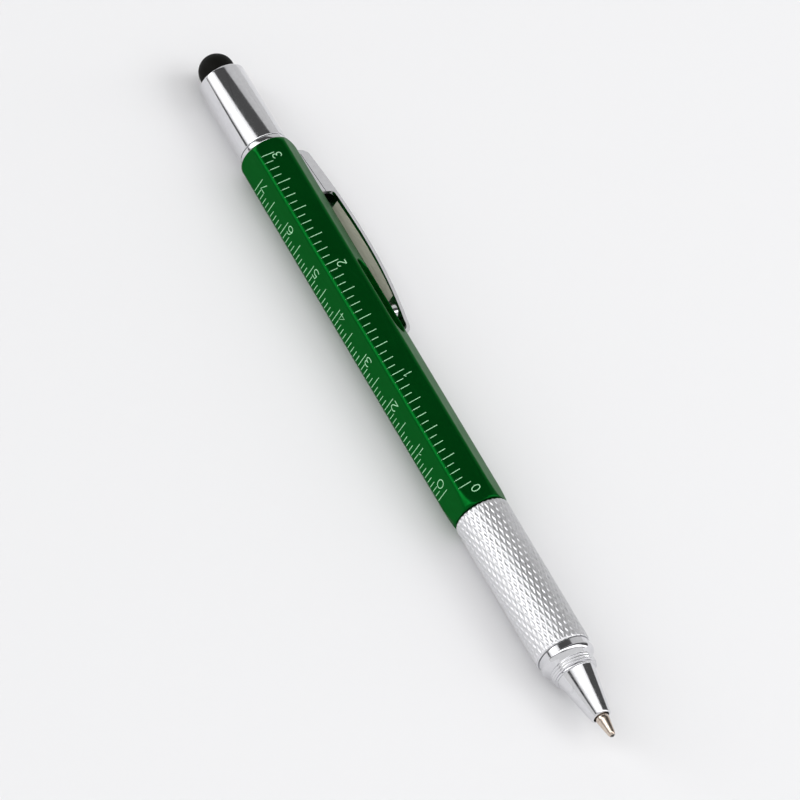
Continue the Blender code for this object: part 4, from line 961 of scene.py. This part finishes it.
def makeRefillTip():
    v = SimpleNamespace(**refillValues)
    end = -v.ballProud
    start = -v.tipBody
    lipBack, lipFront = v.lipRound
    profile = [(start - v.spigot, 0.0, 0.0), (start - v.spigot, v.spigotRadius, v.spigotRound),
               (start, v.spigotRadius, 0.0), (start, v.radius, v.bodyRound),
               (v.straight - v.proud, v.radius, v.coneRound),
               (end - v.lipLength, v.endRadius + v.lipRise, lipBack),
               (end, v.endRadius - v.lipDrop, lipFront)]
    (mouthGap, floorGap), (wall, taper, floor) = v.socketGap, v.socketDepth
    profile += [(end, v.ball + mouthGap, 0.0), (end - wall, v.ball + floorGap, 0.0),
                (end - taper, v.channel, 0.0), (end - floor, 0.0, 0.0)]
    tip = meshObject("refillTip", turned(softened(profile), v.sides))
    finishPiece(tip, "penTipMetal", "refill", ["refill_tip"], stations["tipEnd"], sharp=40.0)
    ball = bmesh.new()
    bmesh.ops.create_icosphere(ball, subdivisions=4, radius=v.ball)
    writingBall = meshObject("writingBall", ball)
    finishPiece(writingBall, "darkCarbide", "refill", ["nib_ball"], stations["tipEnd"] - v.ball)


makeRefillTip()


# CAD pieces whose shape is right keep it, with a better finish
keptPieces = {"bit_magnet": "hardSteel", "vial_holder": "blackMoulded", "cam_tube": "whiteMoulded",
              "grip_bush": "blackMoulded", "friction_ring": "softRubber", "drive_sleeve": "turnedBrass",
              "refill_carrier": "whiteMoulded", "refill_tube": "clearTube", "refill_ink": "blueInk"}
for nodeName, finishName in keptPieces.items():
    for slotIndex in range(len(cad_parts[nodeName].material_slots)):
        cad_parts[nodeName].material_slots[slotIndex].material = materials[finishName]
print("kept pieces:", len(keptPieces))


# Stage, light and camera

stageValues = {"floorSize": 6.0, "floorColour": (0.80, 0.80, 0.81), "floorRoughness": 0.9, "floorShine": 0.1,
               "keyPower": 4.5, "keySize": 0.7, "keyPlace": (0.75, 0.75, 0.95)}

# How far the sky's bands turn (radians) and widen for each unit along X, counted from one place on it
skySlant = {"turn": 1.6, "from": -0.52, "widen": 0.7}
skyBands = [  # degrees from overhead towards +Y, brightness
    (-180.0, 0.80), (-90.5, 0.80), (-90.0, 0.05), (-83.5, 0.05), (-82.5, 0.65), (-79.0, 0.85), (-77.0, 1.35),
    (-70.0, 1.35), (-62.0, 3.4), (-52.0, 3.4), (-44.0, 1.35), (-33.0, 1.1), (-31.0, 0.085), (26.0, 0.085),
    (28.0, 0.62), (60.0, 0.68), (90.0, 0.66), (91.0, 0.80)]


def makeFloor():
    v = SimpleNamespace(**stageValues)
    half = v.floorSize / 2.0
    mesh = bpy.data.meshes.new("floor")
    mesh.from_pydata([(-half, -half, 0.0), (half, -half, 0.0), (half, half, 0.0), (-half, half, 0.0)], [],
                     [(0, 1, 2, 3)])
    material = bpy.data.materials.new("paleFloor")
    material.use_nodes = True
    shader = material.node_tree.nodes["Principled BSDF"]
    shader.inputs["Base Color"].default_value = (*v.floorColour, 1.0)
    shader.inputs["Roughness"].default_value = v.floorRoughness
    shader.inputs["Specular IOR Level"].default_value = v.floorShine
    mesh.materials.append(material)
    floor = newObject("floor", mesh)


def makeSky():  # bands along the pen, which lie askew
    world = bpy.data.worlds.new("studio")
    bpy.context.scene.world = world
    world.use_nodes = True
    tree = world.node_tree
    place = addNode(tree, "TexCoord")
    parts = addNode(tree, "SeparateXYZ")
    angle = addNode(tree, "Math", operation="ARCTAN2")
    along = addNode(tree, "Math", {1: skySlant["from"]}, operation="SUBTRACT")
    widen = addNode(tree, "Math", {1: -skySlant["widen"], 2: 1.0}, operation="MULTIPLY_ADD")
    wide = addNode(tree, "Math", operation="MULTIPLY")
    askew = addNode(tree, "Math", {1: -skySlant["turn"]}, operation="MULTIPLY_ADD")
    share = addNode(tree, "MapRange", {"From Min": -math.pi, "From Max": math.pi})
    ramp = addNode(tree, "ValToRGB")
    elements = ramp.color_ramp.elements
    while len(elements) > 1:
        elements.remove(elements[-1])
    for index, (degrees, brightness) in enumerate(skyBands):
        element = elements[0] if index == 0 else elements.new((degrees + 180.0) / 360.0)
        element.position = (degrees + 180.0) / 360.0
        element.color = (brightness, brightness, brightness, 1.0)
    wire(tree,
         (place, "Generated", parts, "Vector"), (parts, "Y", angle, 0), (parts, "Z", angle, 1),
         (parts, "X", along, 0), (along, "Value", askew, 0), (along, "Value", widen, 0),
         (angle, "Value", wide, 0), (widen, "Value", wide, 1), (wide, "Value", askew, 2),
         (askew, "Value", share, "Value"), (share, "Result", ramp, "Fac"),
         (ramp, "Color", tree.nodes["Background"], "Color"))


def makeKeyLight():
    v = SimpleNamespace(**stageValues)
    lamp = bpy.data.lights.new("key", "AREA")
    lamp.size = v.keySize
    lamp.energy = v.keyPower
    item = newObject("key", lamp)
    item.location = v.keyPlace
    item.visible_glossy = False  # it leaves no glint of its own
    item.rotation_euler = (-Vector(v.keyPlace)).to_track_quat("-Z", "Y").to_euler()


# The camera, in millimetres towards the cap, out of the inch face and towards the clip's side
cameraValues = {"lens": 250.081, "sensor": 36.0, "clipStart": 0.01, "clipEnd": 20.0,
                "place": (-409.072, 810.026, -247.318),
                "right": (-0.45549791, 0.02690377, 0.88983023),
                "down": (-0.76562891, -0.52185201, -0.37614207),
                "ahead": (0.45424006, -0.85261167, 0.2583008)}


def makeCamera():
    v = SimpleNamespace(**cameraValues)

    def inPen(vector):
        return Vector((-vector[0], vector[2], vector[1]))

    turn = penMatrix.to_3x3()
    place = penMatrix @ ((inPen(v.place) + Vector((stations["inchZero"], 0.0, 0.0))) * mm)
    right, up, back = turn @ inPen(v.right), -(turn @ inPen(v.down)), -(turn @ inPen(v.ahead))
    matrix = Matrix((right, up, back)).transposed().to_4x4()
    matrix.translation = place
    data = bpy.data.cameras.new("camera")
    data.sensor_width = v.sensor
    data.lens = v.lens
    data.clip_start = v.clipStart
    data.clip_end = v.clipEnd
    camera = newObject("camera", data)
    camera.matrix_world = matrix
    bpy.context.scene.camera = camera


makeFloor()
makeSky()
makeKeyLight()
makeCamera()
bpy.context.scene.view_settings.view_transform = "Standard"
print("stage, light and camera made")
